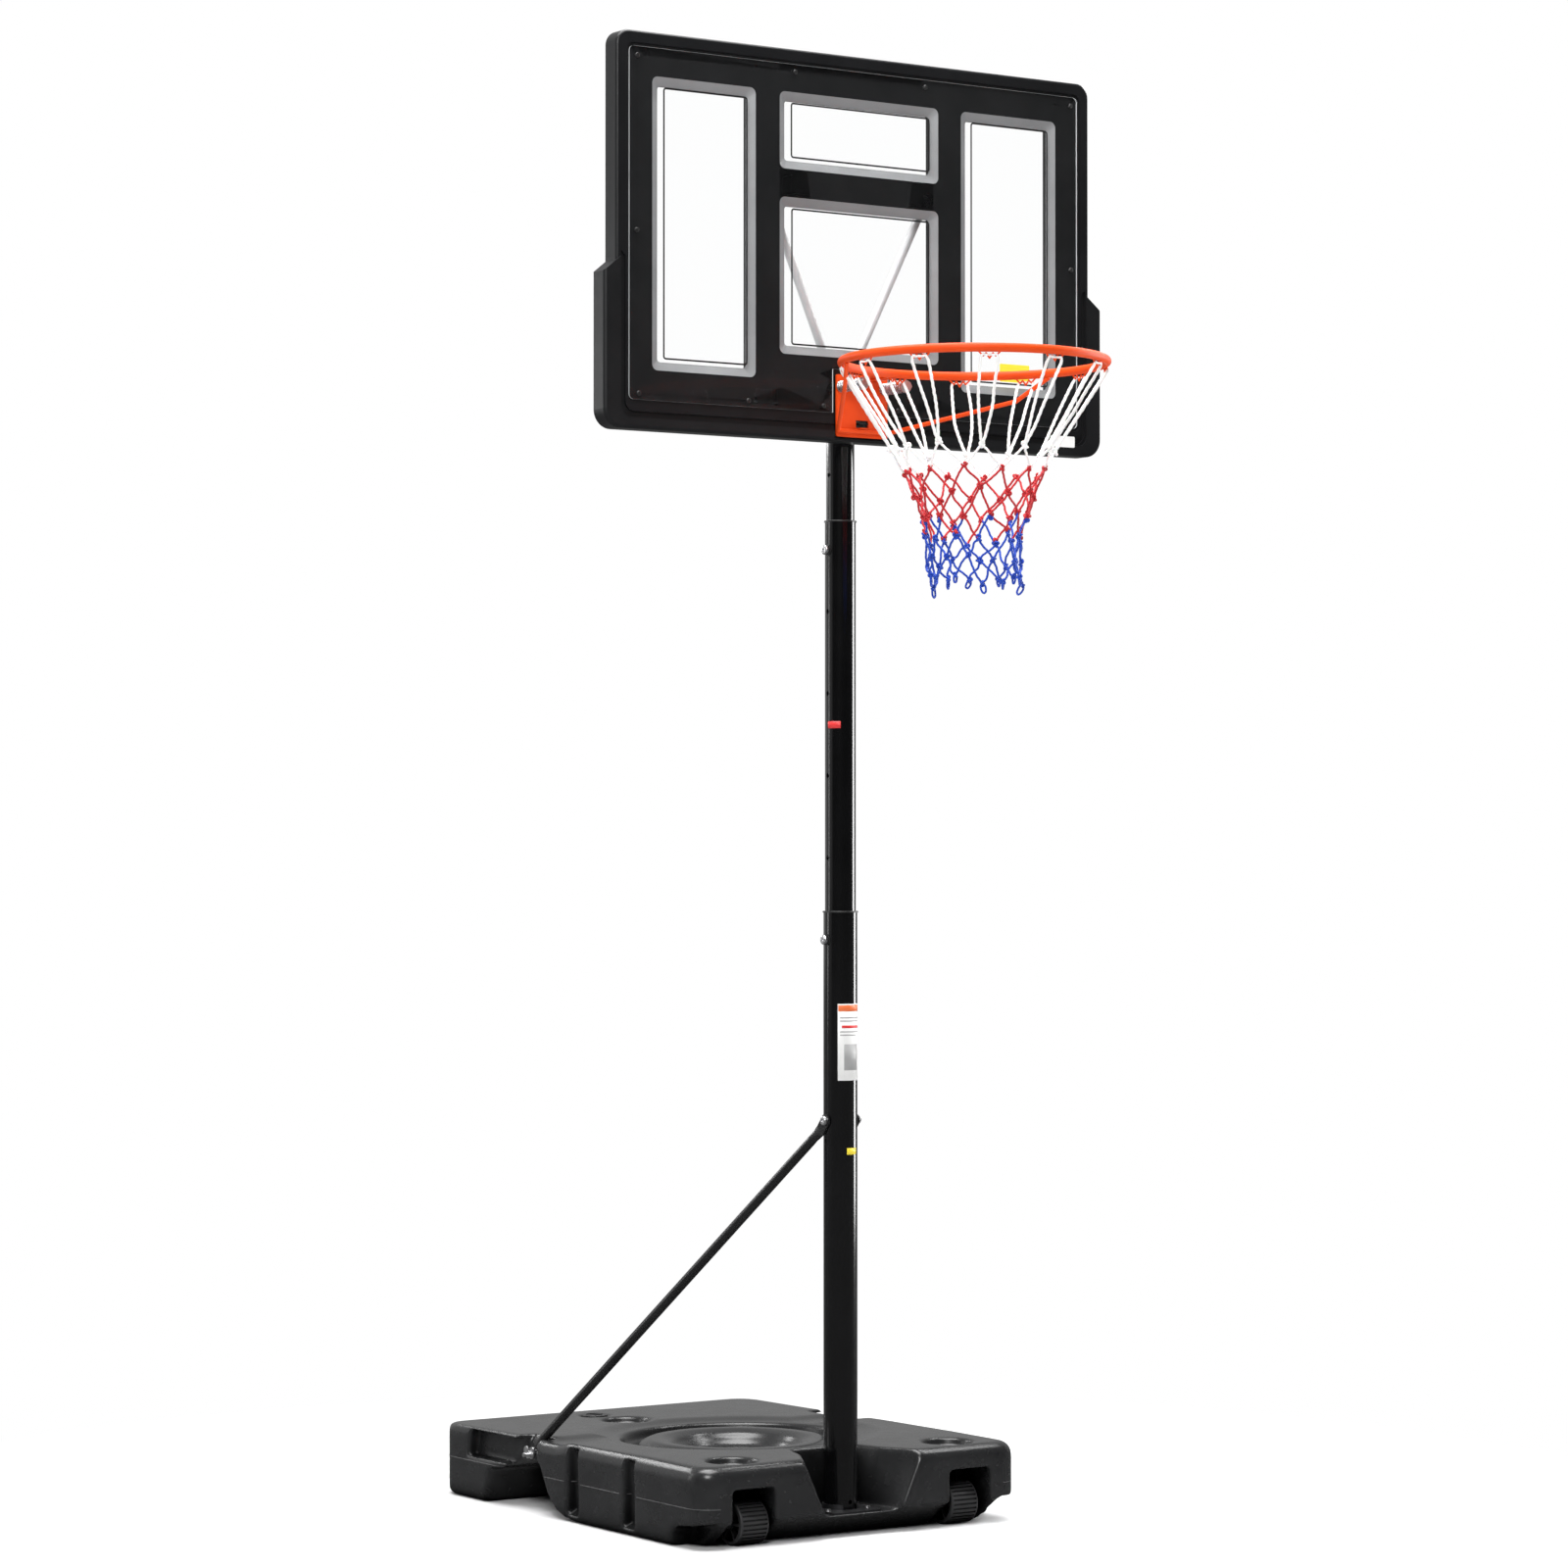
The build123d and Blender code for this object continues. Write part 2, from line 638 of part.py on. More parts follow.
def mouth_bush(z, outer_tube_r, inner_tube_r):
    """Flanged plastic sleeve in an outer tube's mouth."""
    with BuildPart() as bush:
        with BuildSketch(at_z(z - 34)):
            Circle(outer_tube_r - WALL)
            Circle(inner_tube_r + RUN, mode=Mode.SUBTRACT)
        extrude(amount=34)
        with BuildSketch(at_z(z)):
            Circle(outer_tube_r + 1.6)
            Circle(inner_tube_r + RUN, mode=Mode.SUBTRACT)
        extrude(amount=3)
        fillet(faces().sort_by(Axis.Z)[-1].edges().sort_by(SortBy.RADIUS)[-1], 1.2)
    return bush.part


def glide_ring(z, outer_tube_r, inner_tube_r):
    """Ring on an inner tube's lower end."""
    return round_stock([(at_z(z), 15, (0, 0))], outer_tube_r - WALL - RUN, inner_tube_r)


def lock_bolt(z, outer_tube_r, inner_tube_r):
    """Drawn back clear of the inner tube at rest, pushed in to lock."""
    seat = outer_tube_r + LOCK_WASHER_T + 2.3
    tip = inner_tube_r + 0.5
    return dome_bolt(z, seat, shank=seat - tip, socket_start=6, socket_depth=3.2)


def lock_washer(z, tube_r):
    """Saddle washer, hollowed to the tube."""
    with BuildPart() as saddle:
        with BuildSketch(at_x(-tube_r - LOCK_WASHER_T)):
            with Locations((0, z)):
                Circle(10.5)
                Circle(BOLT_R + 0.1, mode=Mode.SUBTRACT)
        extrude(amount=6)
        with BuildSketch(at_z(z - 20)):
            Circle(tube_r)
        extrude(amount=40, mode=Mode.SUBTRACT)
    return saddle.part


save(pole_tube(LOW_Z0, LOW_Z1, LOW_R, [(LOW_LOCK_Z, BOLT_R + 0.1)],
               through_zs=[STAY_TOP_Z], front_zs=[58]), "lower_tube")
save(lower_foot_plug(), "lower_foot_plug")

# height holes, and the lock hole of the tube above
middle_holes = [(LOW_LOCK_Z + k * MID_PITCH, BOLT_R + 0.5) for k in range(5)]
middle_holes.append((UP_LOCK_Z, BOLT_R + 0.1))
save(pole_tube(MID_Z0, MID_Z1, MID_R, middle_holes), "middle_tube")

upper_holes = [(UP_LOCK_Z + k * UP_PITCH, BOLT_R + 0.5) for k in range(-3, 2)]
save(pole_tube(UP_Z0, UP_Z1, UP_R, upper_holes, through_zs=[z for z, seat in HEAD_BOLTS]),
     "upper_tube")
save(upper_tube_cap(), "upper_tube_cap")

save(mouth_bush(LOW_Z1, LOW_R, MID_R), "lower_mouth_bush")
save(mouth_bush(MID_Z1, MID_R, UP_R), "middle_mouth_bush")
save(glide_ring(MID_Z0, LOW_R, MID_R), "middle_glide_ring")
save(glide_ring(UP_Z0, MID_R, UP_R), "upper_glide_ring")

for level, z, outer_tube_r, inner_tube_r in (("lower", LOW_LOCK_Z, LOW_R, MID_R),
                                             ("upper", UP_LOCK_Z, MID_R, UP_R)):
    save(lock_bolt(z, outer_tube_r, inner_tube_r), f"{level}_lock_bolt")
    save(lock_washer(z, outer_tube_r), f"{level}_lock_washer")


# ---------------------------------------------------------------- stays
def wing_nut(side):
    x0 = side * (STAY_X + 3.6)
    with BuildPart() as nut:
        with BuildSketch(at_x(x0)):
            with Locations(STAY_FOOT):
                Circle(7.5)
        extrude(amount=side * 8)
        # wings, joined by a bar
        with BuildSketch(Plane(origin=(x0 + side * 3, *STAY_FOOT), x_dir=(0, 1, 0),
                               z_dir=(1, 0, 0))):
            with Locations((-10.5, 6), (10.5, 6)):
                Ellipse(6.5, 9)
            Rectangle(16, 8)
        extrude(amount=side * 3)
        with BuildSketch(at_x(x0 - side * 2)):
            with Locations(STAY_FOOT):
                Circle(BOLT_R + 0.06)
        extrude(amount=side * 20, mode=Mode.SUBTRACT)
    return nut.part


for side_name, side in SIDES:
    stay = flattened_tube(
        start=(side * (LOW_R + 2.1), 0, STAY_TOP_Z), end=(side * STAY_X, *STAY_FOOT),
        start_normal=(side, 0, 0), end_normal=(side, 0, 0),
        radius=STAY_R, start_reach=24, end_reach=22, width=24)
    save(stay, f"stay_{side_name}")
    save(wing_nut(side), f"wing_nut_{side_name}")

save(dome_bolt(STAY_TOP_Z, STAY_SEAT_X, shank=2 * STAY_SEAT_X + 9,
               socket_start=6.9, socket_depth=4.4), "stay_top_bolt")
save(hex_nuts([(at_x(STAY_SEAT_X), 6.5, (0, STAY_TOP_Z))], 7.2, BOLT_R), "stay_top_nut")
save(round_stock([(at_x(side * (STAY_X - 34)), side * 55, STAY_FOOT) for side in (-1, 1)],
                 BOLT_R), "stay_studs")
save(round_stock([(at_x(side * (STAY_X + FLAT_T / 2)), side * 1.5, STAY_FOOT)
                  for side in (-1, 1)], 9.5, BOLT_R + 0.2), "stay_washers")


# ---------------------------------------------------------------- backboard
def u_band(y_front, y_back, x_out, x_in, z_bottom, z_in, top_out, top_in, r_out, r_in):
    """A U that hugs the board's sides and bottom. Its upright ends are cut on a
    slant, from height top_out at x_out to top_in at x_in."""
    rise = (top_in - top_out) / (x_out - x_in)
    with BuildPart() as band:
        with BuildSketch(at_y(y_front)):
            with Locations((0, z_bottom + 400)):
                RectangleRounded(2 * x_out, 800, r_out)
            with Locations((0, z_in + 500)):
                RectangleRounded(2 * x_in, 1000, r_in, mode=Mode.SUBTRACT)
            for side in (-1, 1):
                with BuildLine():
                    Polyline((side * (x_in - 30), top_in + 30 * rise),
                             (side * (x_in - 30), z_bottom + 900),
                             (side * (x_out + 30), z_bottom + 900),
                             (side * (x_out + 30), top_out - 30 * rise), close=True)
                make_face(mode=Mode.SUBTRACT)
        extrude(amount=-(y_back - y_front))
    return band.part


def bracket_holes(mode=Mode.ADD):
    """Draw the spring bolt and stud holes in the current sketch."""
    with Locations(*SPRINGS):
        Circle(SPRING_HOLE_R, mode=mode)
    with Locations(*STUDS):
        Circle(STUD_R, mode=mode)


def window_cutter():
    """Windows with bevelled front edges."""
    with BuildPart() as cutter:
        for box in WINDOWS:
            with BuildSketch(at_y(PANEL_Y - 0.5)):
                rounded_box(box, 12)
            with BuildSketch(at_y(PANEL_Y + BEVEL_D)):
                rounded_box(box, 6, grow=-BEVEL_W)
            loft()
            with BuildSketch(at_y(PANEL_Y + BEVEL_D - 0.5)):
                rounded_box(box, 6, grow=-BEVEL_W)
            extrude(amount=-8)
            # opened out behind the front skin
            with BuildSketch(at_y(-50)):
                rounded_box(box, 8, grow=12 - BEVEL_W)
            extrude(amount=-60)
    return cutter.part


def board_frame():
    guard_groove = u_band(
        y_front=FRAME_FRONT - 2, y_back=FRAME_FRONT + 5, x_out=523.5, x_in=513.7,
        z_bottom=FRAME_Z0 + 8.5, z_in=FRAME_Z0 + 18, top_out=2336, top_in=2326,
        r_out=26, r_in=18)
    windows = window_cutter()
    with BuildPart() as frame:
        with BuildSketch(at_y(FRAME_BACK)):
            rounded_box(FRAME_BOX, FRAME_CORNER_R)
        extrude(amount=FRAME_BACK - FRAME_FRONT)
        fillet(faces().sort_by(Axis.Y)[0].edges(), 6)
        # recess of the panel behind the clear sheet
        with BuildSketch(at_y(FRAME_FRONT - 1)):
            rounded_box(SHEET_BOX, 16, grow=6)
        extrude(amount=-(PANEL_Y - FRAME_FRONT + 1), mode=Mode.SUBTRACT)
        # flat for the rim's bracket
        with BuildSketch(at_y(PANEL_Y)):
            with Locations((0, (PAD_Z0 + PAD_Z1) / 2)):
                Rectangle(2 * PAD_HALF, PAD_Z1 - PAD_Z0)
        extrude(amount=20, mode=Mode.SUBTRACT)
        # groove beside the guard
        add(guard_groove, mode=Mode.SUBTRACT)
        add(windows, mode=Mode.SUBTRACT)
        # open pockets at the back, around the windows
        for box in POCKETS:
            with BuildSketch(at_y(FRAME_BACK + 1)):
                rounded_box(box, 5)
            extrude(amount=FRAME_BACK - PANEL_Y - PANEL_SKIN + 1, mode=Mode.SUBTRACT)
        # seat of the steel back plate
        with BuildSketch(at_y(FRAME_BACK + 1)):
            with Locations((0, PLATE_Z)):
                Rectangle(PLATE_W + 2, PLATE_H + 2)
        extrude(amount=PLATE_T + 1, mode=Mode.SUBTRACT)
        # standing bosses for the strut ends
        for centre in STRUT_ENDS:
            with BuildSketch(at_y(STRUT_Y - FLAT_T / 2)):
                with Locations(centre):
                    Circle(13)
            extrude(amount=30)
        # bolt holes: springs and studs, struts, sheet screws
        with BuildSketch(at_y(-100)):
            bracket_holes()
        extrude(amount=-140, mode=Mode.SUBTRACT)
        with BuildSketch(at_y(STRUT_Y - 1)):
            with Locations(*STRUT_ENDS):
                Circle(STRUT_BOLT_R)
        extrude(amount=31, mode=Mode.SUBTRACT)
        with BuildSketch(at_y(PANEL_Y + 12)):
            with Locations(*SHEET_SCREWS):
                Circle(SHEET_SCREW_R)
        extrude(amount=20, mode=Mode.SUBTRACT)
        # screw bosses in the pockets keep the screws' tips inside plastic
        with BuildSketch(at_y(PANEL_Y + 12)):
            with Locations(*SHEET_SCREWS):
                Circle(5)
                Circle(SHEET_SCREW_R, mode=Mode.SUBTRACT)
        extrude(amount=10)
    return frame.part


def edge_guard():
    block = u_band(
        y_front=GUARD_FRONT, y_back=-34, x_out=GUARD_HALF, x_in=525,
        z_bottom=GUARD_Z0, z_in=FRAME_Z0 + 6.2, top_out=2297, top_in=2325,
        r_out=34, r_in=20)
    with BuildPart() as guard:
        add(block)
        # the outer edges of the front face, below the slanted ends
        fillet([e for e in edges() if abs(e.center().Y - GUARD_FRONT) < 0.1
                and e.center().Z < 2290
                and (abs(e.center().X) > 541 or e.center().Z < 2030)], 7)
        # channel over the frame's edge
        with BuildSketch(at_y(-20)):
            rounded_box(FRAME_BOX, FRAME_CORNER_R)
        extrude(amount=-20 - FRAME_FRONT, mode=Mode.SUBTRACT)
        # gap for the rim's bracket
        with BuildSketch(at_y(PANEL_Y)):
            with Locations((0, (PAD_Z0 + PAD_Z1) / 2)):
                Rectangle(2 * PAD_HALF, PAD_Z1 - PAD_Z0)
        extrude(amount=20, mode=Mode.SUBTRACT)
    return guard.part


def clear_sheet():
    with BuildPart() as sheet:
        with BuildSketch(at_y(PANEL_Y)):
            rounded_box(SHEET_BOX, 10)
            with Locations((0, PAD_Z1 - 60)):
                Rectangle(2 * PAD_HALF + 1, 121, mode=Mode.SUBTRACT)
            with Locations(*SHEET_SCREWS):
                Circle(SHEET_SCREW_R + 0.4, mode=Mode.SUBTRACT)
        extrude(amount=SHEET_T)
    return sheet.part


def sheet_screws():
    """Chamfered heads with cross slots, then the shanks."""
    with BuildPart() as screws:
        with BuildSketch(at_y(PANEL_Y - SHEET_T)):
            with Locations(*SHEET_SCREWS):
                Circle(4.5)
        extrude(amount=2.6)
        chamfer(edges().filter_by(GeomType.CIRCLE).group_by(Axis.Y)[0], 0.9)
        with BuildSketch(at_y(PANEL_Y - SHEET_T - 1.2)):
            with Locations(*SHEET_SCREWS):
                Rectangle(4.6, 0.9)
                Rectangle(0.9, 4.6)
        extrude(amount=3, mode=Mode.SUBTRACT)
        with BuildSketch(at_y(PANEL_Y + 11)):
            with Locations(*SHEET_SCREWS):
                Circle(SHEET_SCREW_R)
        extrude(amount=11 + SHEET_T)
    return screws.part


save(board_frame(), "board_frame")
save(edge_guard(), "edge_guard")
save(clear_sheet(), "clear_sheet")
save(sheet_screws(), "sheet_screws")


# ---------------------------------------------------------------- board mounting
def board_back_plate():
    with BuildPart() as plate:
        with BuildSketch(at_y(FRAME_BACK)):
            with Locations((0, PLATE_Z)):
                RectangleRounded(PLATE_W, PLATE_H, 6)
            bracket_holes(mode=Mode.SUBTRACT)
        extrude(amount=PLATE_T)
    return plate.part


def head_bracket():
    """Web against the board, with a cheek on each side of the pole."""
    with BuildPart() as bracket:
        with BuildSketch(at_z(HEAD_Z0)):
            with BuildLine():
                Polyline((-WEB_HALF, FRAME_BACK), (WEB_HALF, FRAME_BACK), (WEB_HALF, WEB_BACK),
                         (CHEEK_OUT, WEB_BACK), (CHEEK_OUT, CHEEK_REAR), (CHEEK_IN, CHEEK_REAR),
                         (CHEEK_IN, WEB_BACK), (-CHEEK_IN, WEB_BACK), (-CHEEK_IN, CHEEK_REAR),
                         (-CHEEK_OUT, CHEEK_REAR), (-CHEEK_OUT, WEB_BACK),
                         (-WEB_HALF, WEB_BACK), close=True)
            make_face()
        extrude(amount=HEAD_H)
        with BuildSketch(at_y(0)):
            bracket_holes()
        extrude(amount=60, mode=Mode.SUBTRACT)
        with BuildSketch(at_x(-60)):
            with Locations(*[(0, z) for z, seat in HEAD_BOLTS]):
                Circle(BOLT_R)
        extrude(amount=120, mode=Mode.SUBTRACT)
        # rounded rear corners of the cheeks
        fillet([e for e in edges().filter_by(Axis.X)
                if abs(e.center().Y - CHEEK_REAR) < 0.1], 10)
    return bracket.part


def head_bolts():
    with BuildPart() as bolts:
        for z, seat in HEAD_BOLTS:
            with BuildSketch(at_x(-seat)):
                with Locations((0, z)):
                    Circle(BOLT_R)
            extrude(amount=2 * seat + 9)
            with BuildSketch(at_x(-seat)):
                with Locations((0, z)):
                    RegularPolygon(HEAD_HEX_R, 6)
            extrude(amount=-5)
    return bolts.part


def strut_bolts():
    seat_y = STRUT_Y + FLAT_T / 2
    with BuildPart() as bolts:
        for centre in STRUT_ENDS:
            with BuildSketch(at_y(seat_y)):
                with Locations(centre):
                    RegularPolygon(6.6, 6)
            extrude(amount=-5)
            with BuildSketch(at_y(seat_y)):
                with Locations(centre):
                    Circle(STRUT_BOLT_R)
            extrude(amount=32)
    return bolts.part


save(board_back_plate(), "board_back_plate")
save(head_bracket(), "head_bracket")
save(head_bolts(), "head_bolts")
save(hex_nuts([(at_x(seat), 6.5, (0, z)) for z, seat in HEAD_BOLTS], HEAD_HEX_R, BOLT_R),
     "head_nuts")

for side_name, side in SIDES:
    strut = flattened_tube(
        start=(side * 31.5, 0, HEAD_BOLTS[1][0]), end=(side * STRUT_X, STRUT_Y, STRUT_Z),
        start_normal=(side, 0, 0), end_normal=(0, 1, 0),
        radius=STRUT_R, start_reach=20, end_reach=20, width=22)
    save(strut, f"strut_{side_name}")
save(strut_bolts(), "strut_bolts")

# ---------------------------------------------------------------- rim
# brace rod: x, y, z
BRACE = ((-225, -345, 2127), (-191, -289, 2086), (-57, -75.2, 2037),
         (57, -75.2, 2037), (191, -289, 2086), (225, -345, 2127))
# net hook: y, z from the centre of the ring's rod
HOOK = ((-20, -6), (-11, -15), (-6, -10), (0, -19), (6, -10), (11, -15), (20, -6))
# net's outer face: radius, z
NET_OUTLINE = ((225, 2112), (213, 2086), (168, 2010), (124, 1935), (88, 1838), (83, 1722))
NET_T = 4.0


def rim_mount_bracket():
    """Plate on the board, with a small ledge standing forward."""
    with BuildPart() as bracket:
        with BuildSketch(at_y(PANEL_Y)):
            with Locations((0, 2084)):
                Rectangle(116, 108)
            with Locations(*SPRINGS):
                Circle(SPRING_HOLE_R, mode=Mode.SUBTRACT)
        extrude(amount=MOUNT_T)
        with BuildSketch(at_y(FLANGE_BACK)):
            with Locations((0, 2051.5)):
                Rectangle(20, 3)
        extrude(amount=9)
    return bracket.part


def rim_flange():
    """Rim's upright plate, with openings for the ledge and spring bolts."""
    with BuildPart() as flange:
        with BuildSketch(at_y(FLANGE_BACK)):
            rounded_box((-FLANGE_HALF, FLANGE_HALF, FLANGE_Z0, FLANGE_Z1), 3)
            with Locations((0, 2051)):
                Rectangle(28, 14, mode=Mode.SUBTRACT)
            with Locations((-SPRING_X, 2120.5), (SPRING_X, 2120.5)):
                Rectangle(12, 17, mode=Mode.SUBTRACT)
        extrude(amount=FLANGE_T)
        # lip below the ledge opening
        with BuildSketch(at_y(FLANGE_FRONT)):
            with Locations((0, 2042.7)):
                Rectangle(18, 2.6)
        extrude(amount=8)
    return flange.part


def rim_ring():
    with BuildPart() as ring:
        with BuildSketch(Plane.YZ):
            with Locations((RIM_Y - RIM_R, RIM_Z)):
                Circle(RIM_ROD)
        revolve(axis=RIM_AXIS)
    return ring.part


def rim_top_plate(ring):
    with BuildPart() as plate:
        with BuildSketch(at_z(RIM_Z - 2)):
            with BuildLine():
                Polyline((-34, FLANGE_FRONT), (34, FLANGE_FRONT), (34, -185.5), (-34, -185.5),
                         close=True)
            make_face()
        extrude(amount=4)
        # pressed rib down the middle, on the underside
        with BuildSketch(at_z(RIM_Z - 5)):
            with Locations((0, -121)):
                SlotOverall(92, 12, rotation=90)
        extrude(amount=3)
        add(ring, mode=Mode.SUBTRACT)
    return plate.part


def net_hooks(ring):
    hook = bent_rod([(RIM_R, RIM_Y + y, RIM_Z + z) for y, z in HOOK], HOOK_WIRE, ring)
    with BuildPart() as hooks:
        for k in range(HOOK_COUNT):
            add(hook.rotate(RIM_AXIS, 360 / HOOK_COUNT * k))
    return hooks.part


def net():
    outer = [(RIM_Y - radius, z) for radius, z in NET_OUTLINE]
    inner = [(y + NET_T, z) for y, z in reversed(outer)]
    with BuildPart() as skirt:
        with BuildSketch(Plane.YZ):
            with BuildLine():
                Polyline(*outer, *inner, close=True)
            make_face()
        revolve(axis=RIM_AXIS)
    return skirt.part


save(rim_mount_bracket(), "rim_mount_bracket")
save(round_stock([(at_y(-19), 45, *STUDS)], STUD_R), "mount_studs")
save(hex_nuts([(at_y(WEB_BACK), -6, *STUDS)], 7.2, STUD_R), "mount_nuts")
save(rim_flange(), "rim_flange")

ring_part = rim_ring()
save(ring_part, "rim_ring")
save(rim_top_plate(ring_part), "rim_top_plate")
save(bent_rod(BRACE, BRACE_ROD, ring_part), "rim_brace_rod")
save(net_hooks(ring_part), "net_hooks")
save(net(), "net")


# ---------------------------------------------------------------- breakaway springs
def spring_bolts():
    head_y = SPRING_SEAT_Y - SPRING_WASHER_T
    with BuildPart() as bolts:
        with BuildSketch(at_y(-18)):
            with Locations(*SPRINGS):
                Circle(SPRING_BOLT_R)
        extrude(amount=-18 - head_y)
        with BuildSketch(at_y(head_y)):
            with Locations(*SPRINGS):
                RegularPolygon(9.4, 6)
        extrude(amount=7)
    return bolts.part


def rim_spring(side):
    free_length = SPRING_L - 2 * SPRING_WIRE
    with BuildPart() as coil:
        with BuildLine() as coil_path:
            Helix(pitch=free_length / SPRING_COILS, height=free_length - 0.2, radius=SPRING_R,
                  center=(side * SPRING_X, FLANGE_FRONT - SPRING_WIRE - 0.1, SPRING_Z),
                  direction=(0, -1, 0))
        with BuildSketch(Plane(origin=coil_path.line @ 0, z_dir=coil_path.line % 0)):
            Circle(SPRING_WIRE)
        sweep()
    return coil.part


save(spring_bolts(), "spring_bolts")
save(round_stock([(at_y(SPRING_SEAT_Y), SPRING_WASHER_T, *SPRINGS)], 12, SPRING_HOLE_R),
     "spring_washers")
save(hex_nuts([(at_y(WEB_BACK), -8, *SPRINGS)], 8.8, SPRING_BOLT_R), "spring_nuts")
for side_name, side in SIDES:
    save(rim_spring(side), f"rim_spring_{side_name}")
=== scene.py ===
"""A portable basketball hoop: looks, studio, lights and camera over its CAD pieces.

Metres, +Z up, floor at z = 0. The pole stands on the Z axis. The board faces -Y with the rim
and net in front of it, and the wheeled base tank reaches back towards +Y.
"""
import json
import math
import random

import bmesh
import bpy
from mathutils import Matrix, Vector
from mathutils.bvhtree import BVHTree

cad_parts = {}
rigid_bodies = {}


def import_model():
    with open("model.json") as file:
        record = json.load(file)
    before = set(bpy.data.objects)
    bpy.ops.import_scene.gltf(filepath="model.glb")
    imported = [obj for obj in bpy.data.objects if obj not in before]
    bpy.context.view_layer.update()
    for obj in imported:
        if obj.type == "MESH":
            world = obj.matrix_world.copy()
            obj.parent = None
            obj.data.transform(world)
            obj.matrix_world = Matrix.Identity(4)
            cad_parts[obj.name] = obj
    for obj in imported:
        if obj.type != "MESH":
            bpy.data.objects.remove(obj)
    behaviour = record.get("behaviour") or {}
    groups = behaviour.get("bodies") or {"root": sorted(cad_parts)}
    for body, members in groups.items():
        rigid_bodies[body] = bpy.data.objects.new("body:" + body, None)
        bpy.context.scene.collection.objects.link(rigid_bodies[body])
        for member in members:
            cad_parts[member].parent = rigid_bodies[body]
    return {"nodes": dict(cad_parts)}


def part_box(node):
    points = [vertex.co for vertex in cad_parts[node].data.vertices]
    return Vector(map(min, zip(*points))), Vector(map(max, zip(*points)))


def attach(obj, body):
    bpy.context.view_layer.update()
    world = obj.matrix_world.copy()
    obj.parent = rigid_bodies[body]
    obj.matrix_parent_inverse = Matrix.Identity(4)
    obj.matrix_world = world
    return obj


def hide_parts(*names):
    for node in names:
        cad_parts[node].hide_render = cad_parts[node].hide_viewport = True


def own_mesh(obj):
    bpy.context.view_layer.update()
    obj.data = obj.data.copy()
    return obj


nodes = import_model()["nodes"]
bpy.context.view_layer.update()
scene = bpy.context.scene
materials = {}


# ------------------------------------------------------------------ shader node helpers
def feed(shader_node, inputs):
    """Fill inputs by name or index: a socket is linked, anything else is a plain value."""
    for key, value in inputs.items():
        target = shader_node.inputs[key]
        if isinstance(value, bpy.types.NodeSocket):
            shader_node.id_data.links.new(value, target)
        else:
            target.default_value = value


def add_node(tree, kind, inputs=None, **settings):
    made = tree.nodes.new(kind)
    for key, value in settings.items():
        setattr(made, key, value)
    feed(made, inputs or {})
    return made


def object_coord(tree):
    return add_node(tree, "ShaderNodeTexCoord").outputs["Object"]


def noise(tree, scale, detail=4.0, roughness=0.55, vector=None):
    if vector is None:
        vector = object_coord(tree)
    inputs = {"Scale": scale, "Detail": detail, "Roughness": roughness, "Vector": vector}
    return add_node(tree, "ShaderNodeTexNoise", inputs).outputs["Fac"]


def ramp(tree, factor, stops):
    """Colour ramp through (position, rgb) stops in rising order."""
    made = add_node(tree, "ShaderNodeValToRGB", {"Fac": factor})
    elements = made.color_ramp.elements
    for element, (position, colour) in ((elements[0], stops[0]), (elements[1], stops[-1])):
        element.position = position
        element.color = (*colour, 1)
    for position, colour in stops[1:-1]:
        elements.new(position).color = (*colour, 1)
    return made.outputs["Color"]


def remap(tree, value, source=(0.0, 1.0), target=(0.0, 1.0), curve="LINEAR"):
    inputs = {
        "Value": value,
        "From Min": source[0], "From Max": source[1],
        "To Min": target[0], "To Max": target[1],
    }
    made = add_node(tree, "ShaderNodeMapRange", inputs, interpolation_type=curve)
    return made.outputs["Result"]


def calculate(tree, operation, first, second):
    return add_node(tree, "ShaderNodeMath", {0: first, 1: second}, operation=operation).outputs[0]


def mix_colours(tree, factor, first, second):
    inputs = {"Factor": factor, 6: first, 7: second}
    return add_node(tree, "ShaderNodeMix", inputs, data_type="RGBA").outputs[2]


def mix_shaders(tree, factor, first, second):
    return add_node(tree, "ShaderNodeMixShader", {0: factor, 1: first, 2: second}).outputs[0]


def bump(tree, height, strength, distance, under=None):
    inputs = {"Strength": strength, "Distance": distance, "Height": height}
    if under is not None:
        inputs["Normal"] = under
    return add_node(tree, "ShaderNodeBump", inputs).outputs["Normal"]


# ------------------------------------------------------------------ material kinds
def new_material(name):
    material = bpy.data.materials.new(name)
    material.use_nodes = True
    materials[name] = material
    tree = material.node_tree
    return tree, tree.nodes["Principled BSDF"]


def grey(value):
    return (value, value, value)


def coated(name, dark, light, roughness, peel_scale=1400.0, peel_strength=0.12,
           grain_scale=0.0, grain_strength=0.0, coat=0.0, metallic=0.0, specular=0.5):
    """Painted or moulded: slow colour drift, fine surface texture, roughness that varies."""
    tree, bsdf = new_material(name)
    drift = noise(tree, scale=9.0, detail=5.0)
    wear = noise(tree, scale=38.0, detail=6.0, roughness=0.6)
    feed(bsdf, {
        "Base Color": ramp(tree, drift, [(0.3, dark), (0.7, light)]),
        "Roughness": remap(tree, wear, target=roughness),
        "Metallic": metallic,
        "Specular IOR Level": specular,
        "Coat Weight": coat,
        "Coat Roughness": 0.12,
    })
    normal = None
    if peel_strength:
        peel = noise(tree, peel_scale, detail=3.0)
        normal = bump(tree, peel, peel_strength, distance=0.0004)
    if grain_scale:
        grain = noise(tree, grain_scale, detail=5.0, roughness=0.7)
        normal = bump(tree, grain, grain_strength, distance=0.0006, under=normal)
    if normal is not None:
        feed(bsdf, {"Normal": normal})


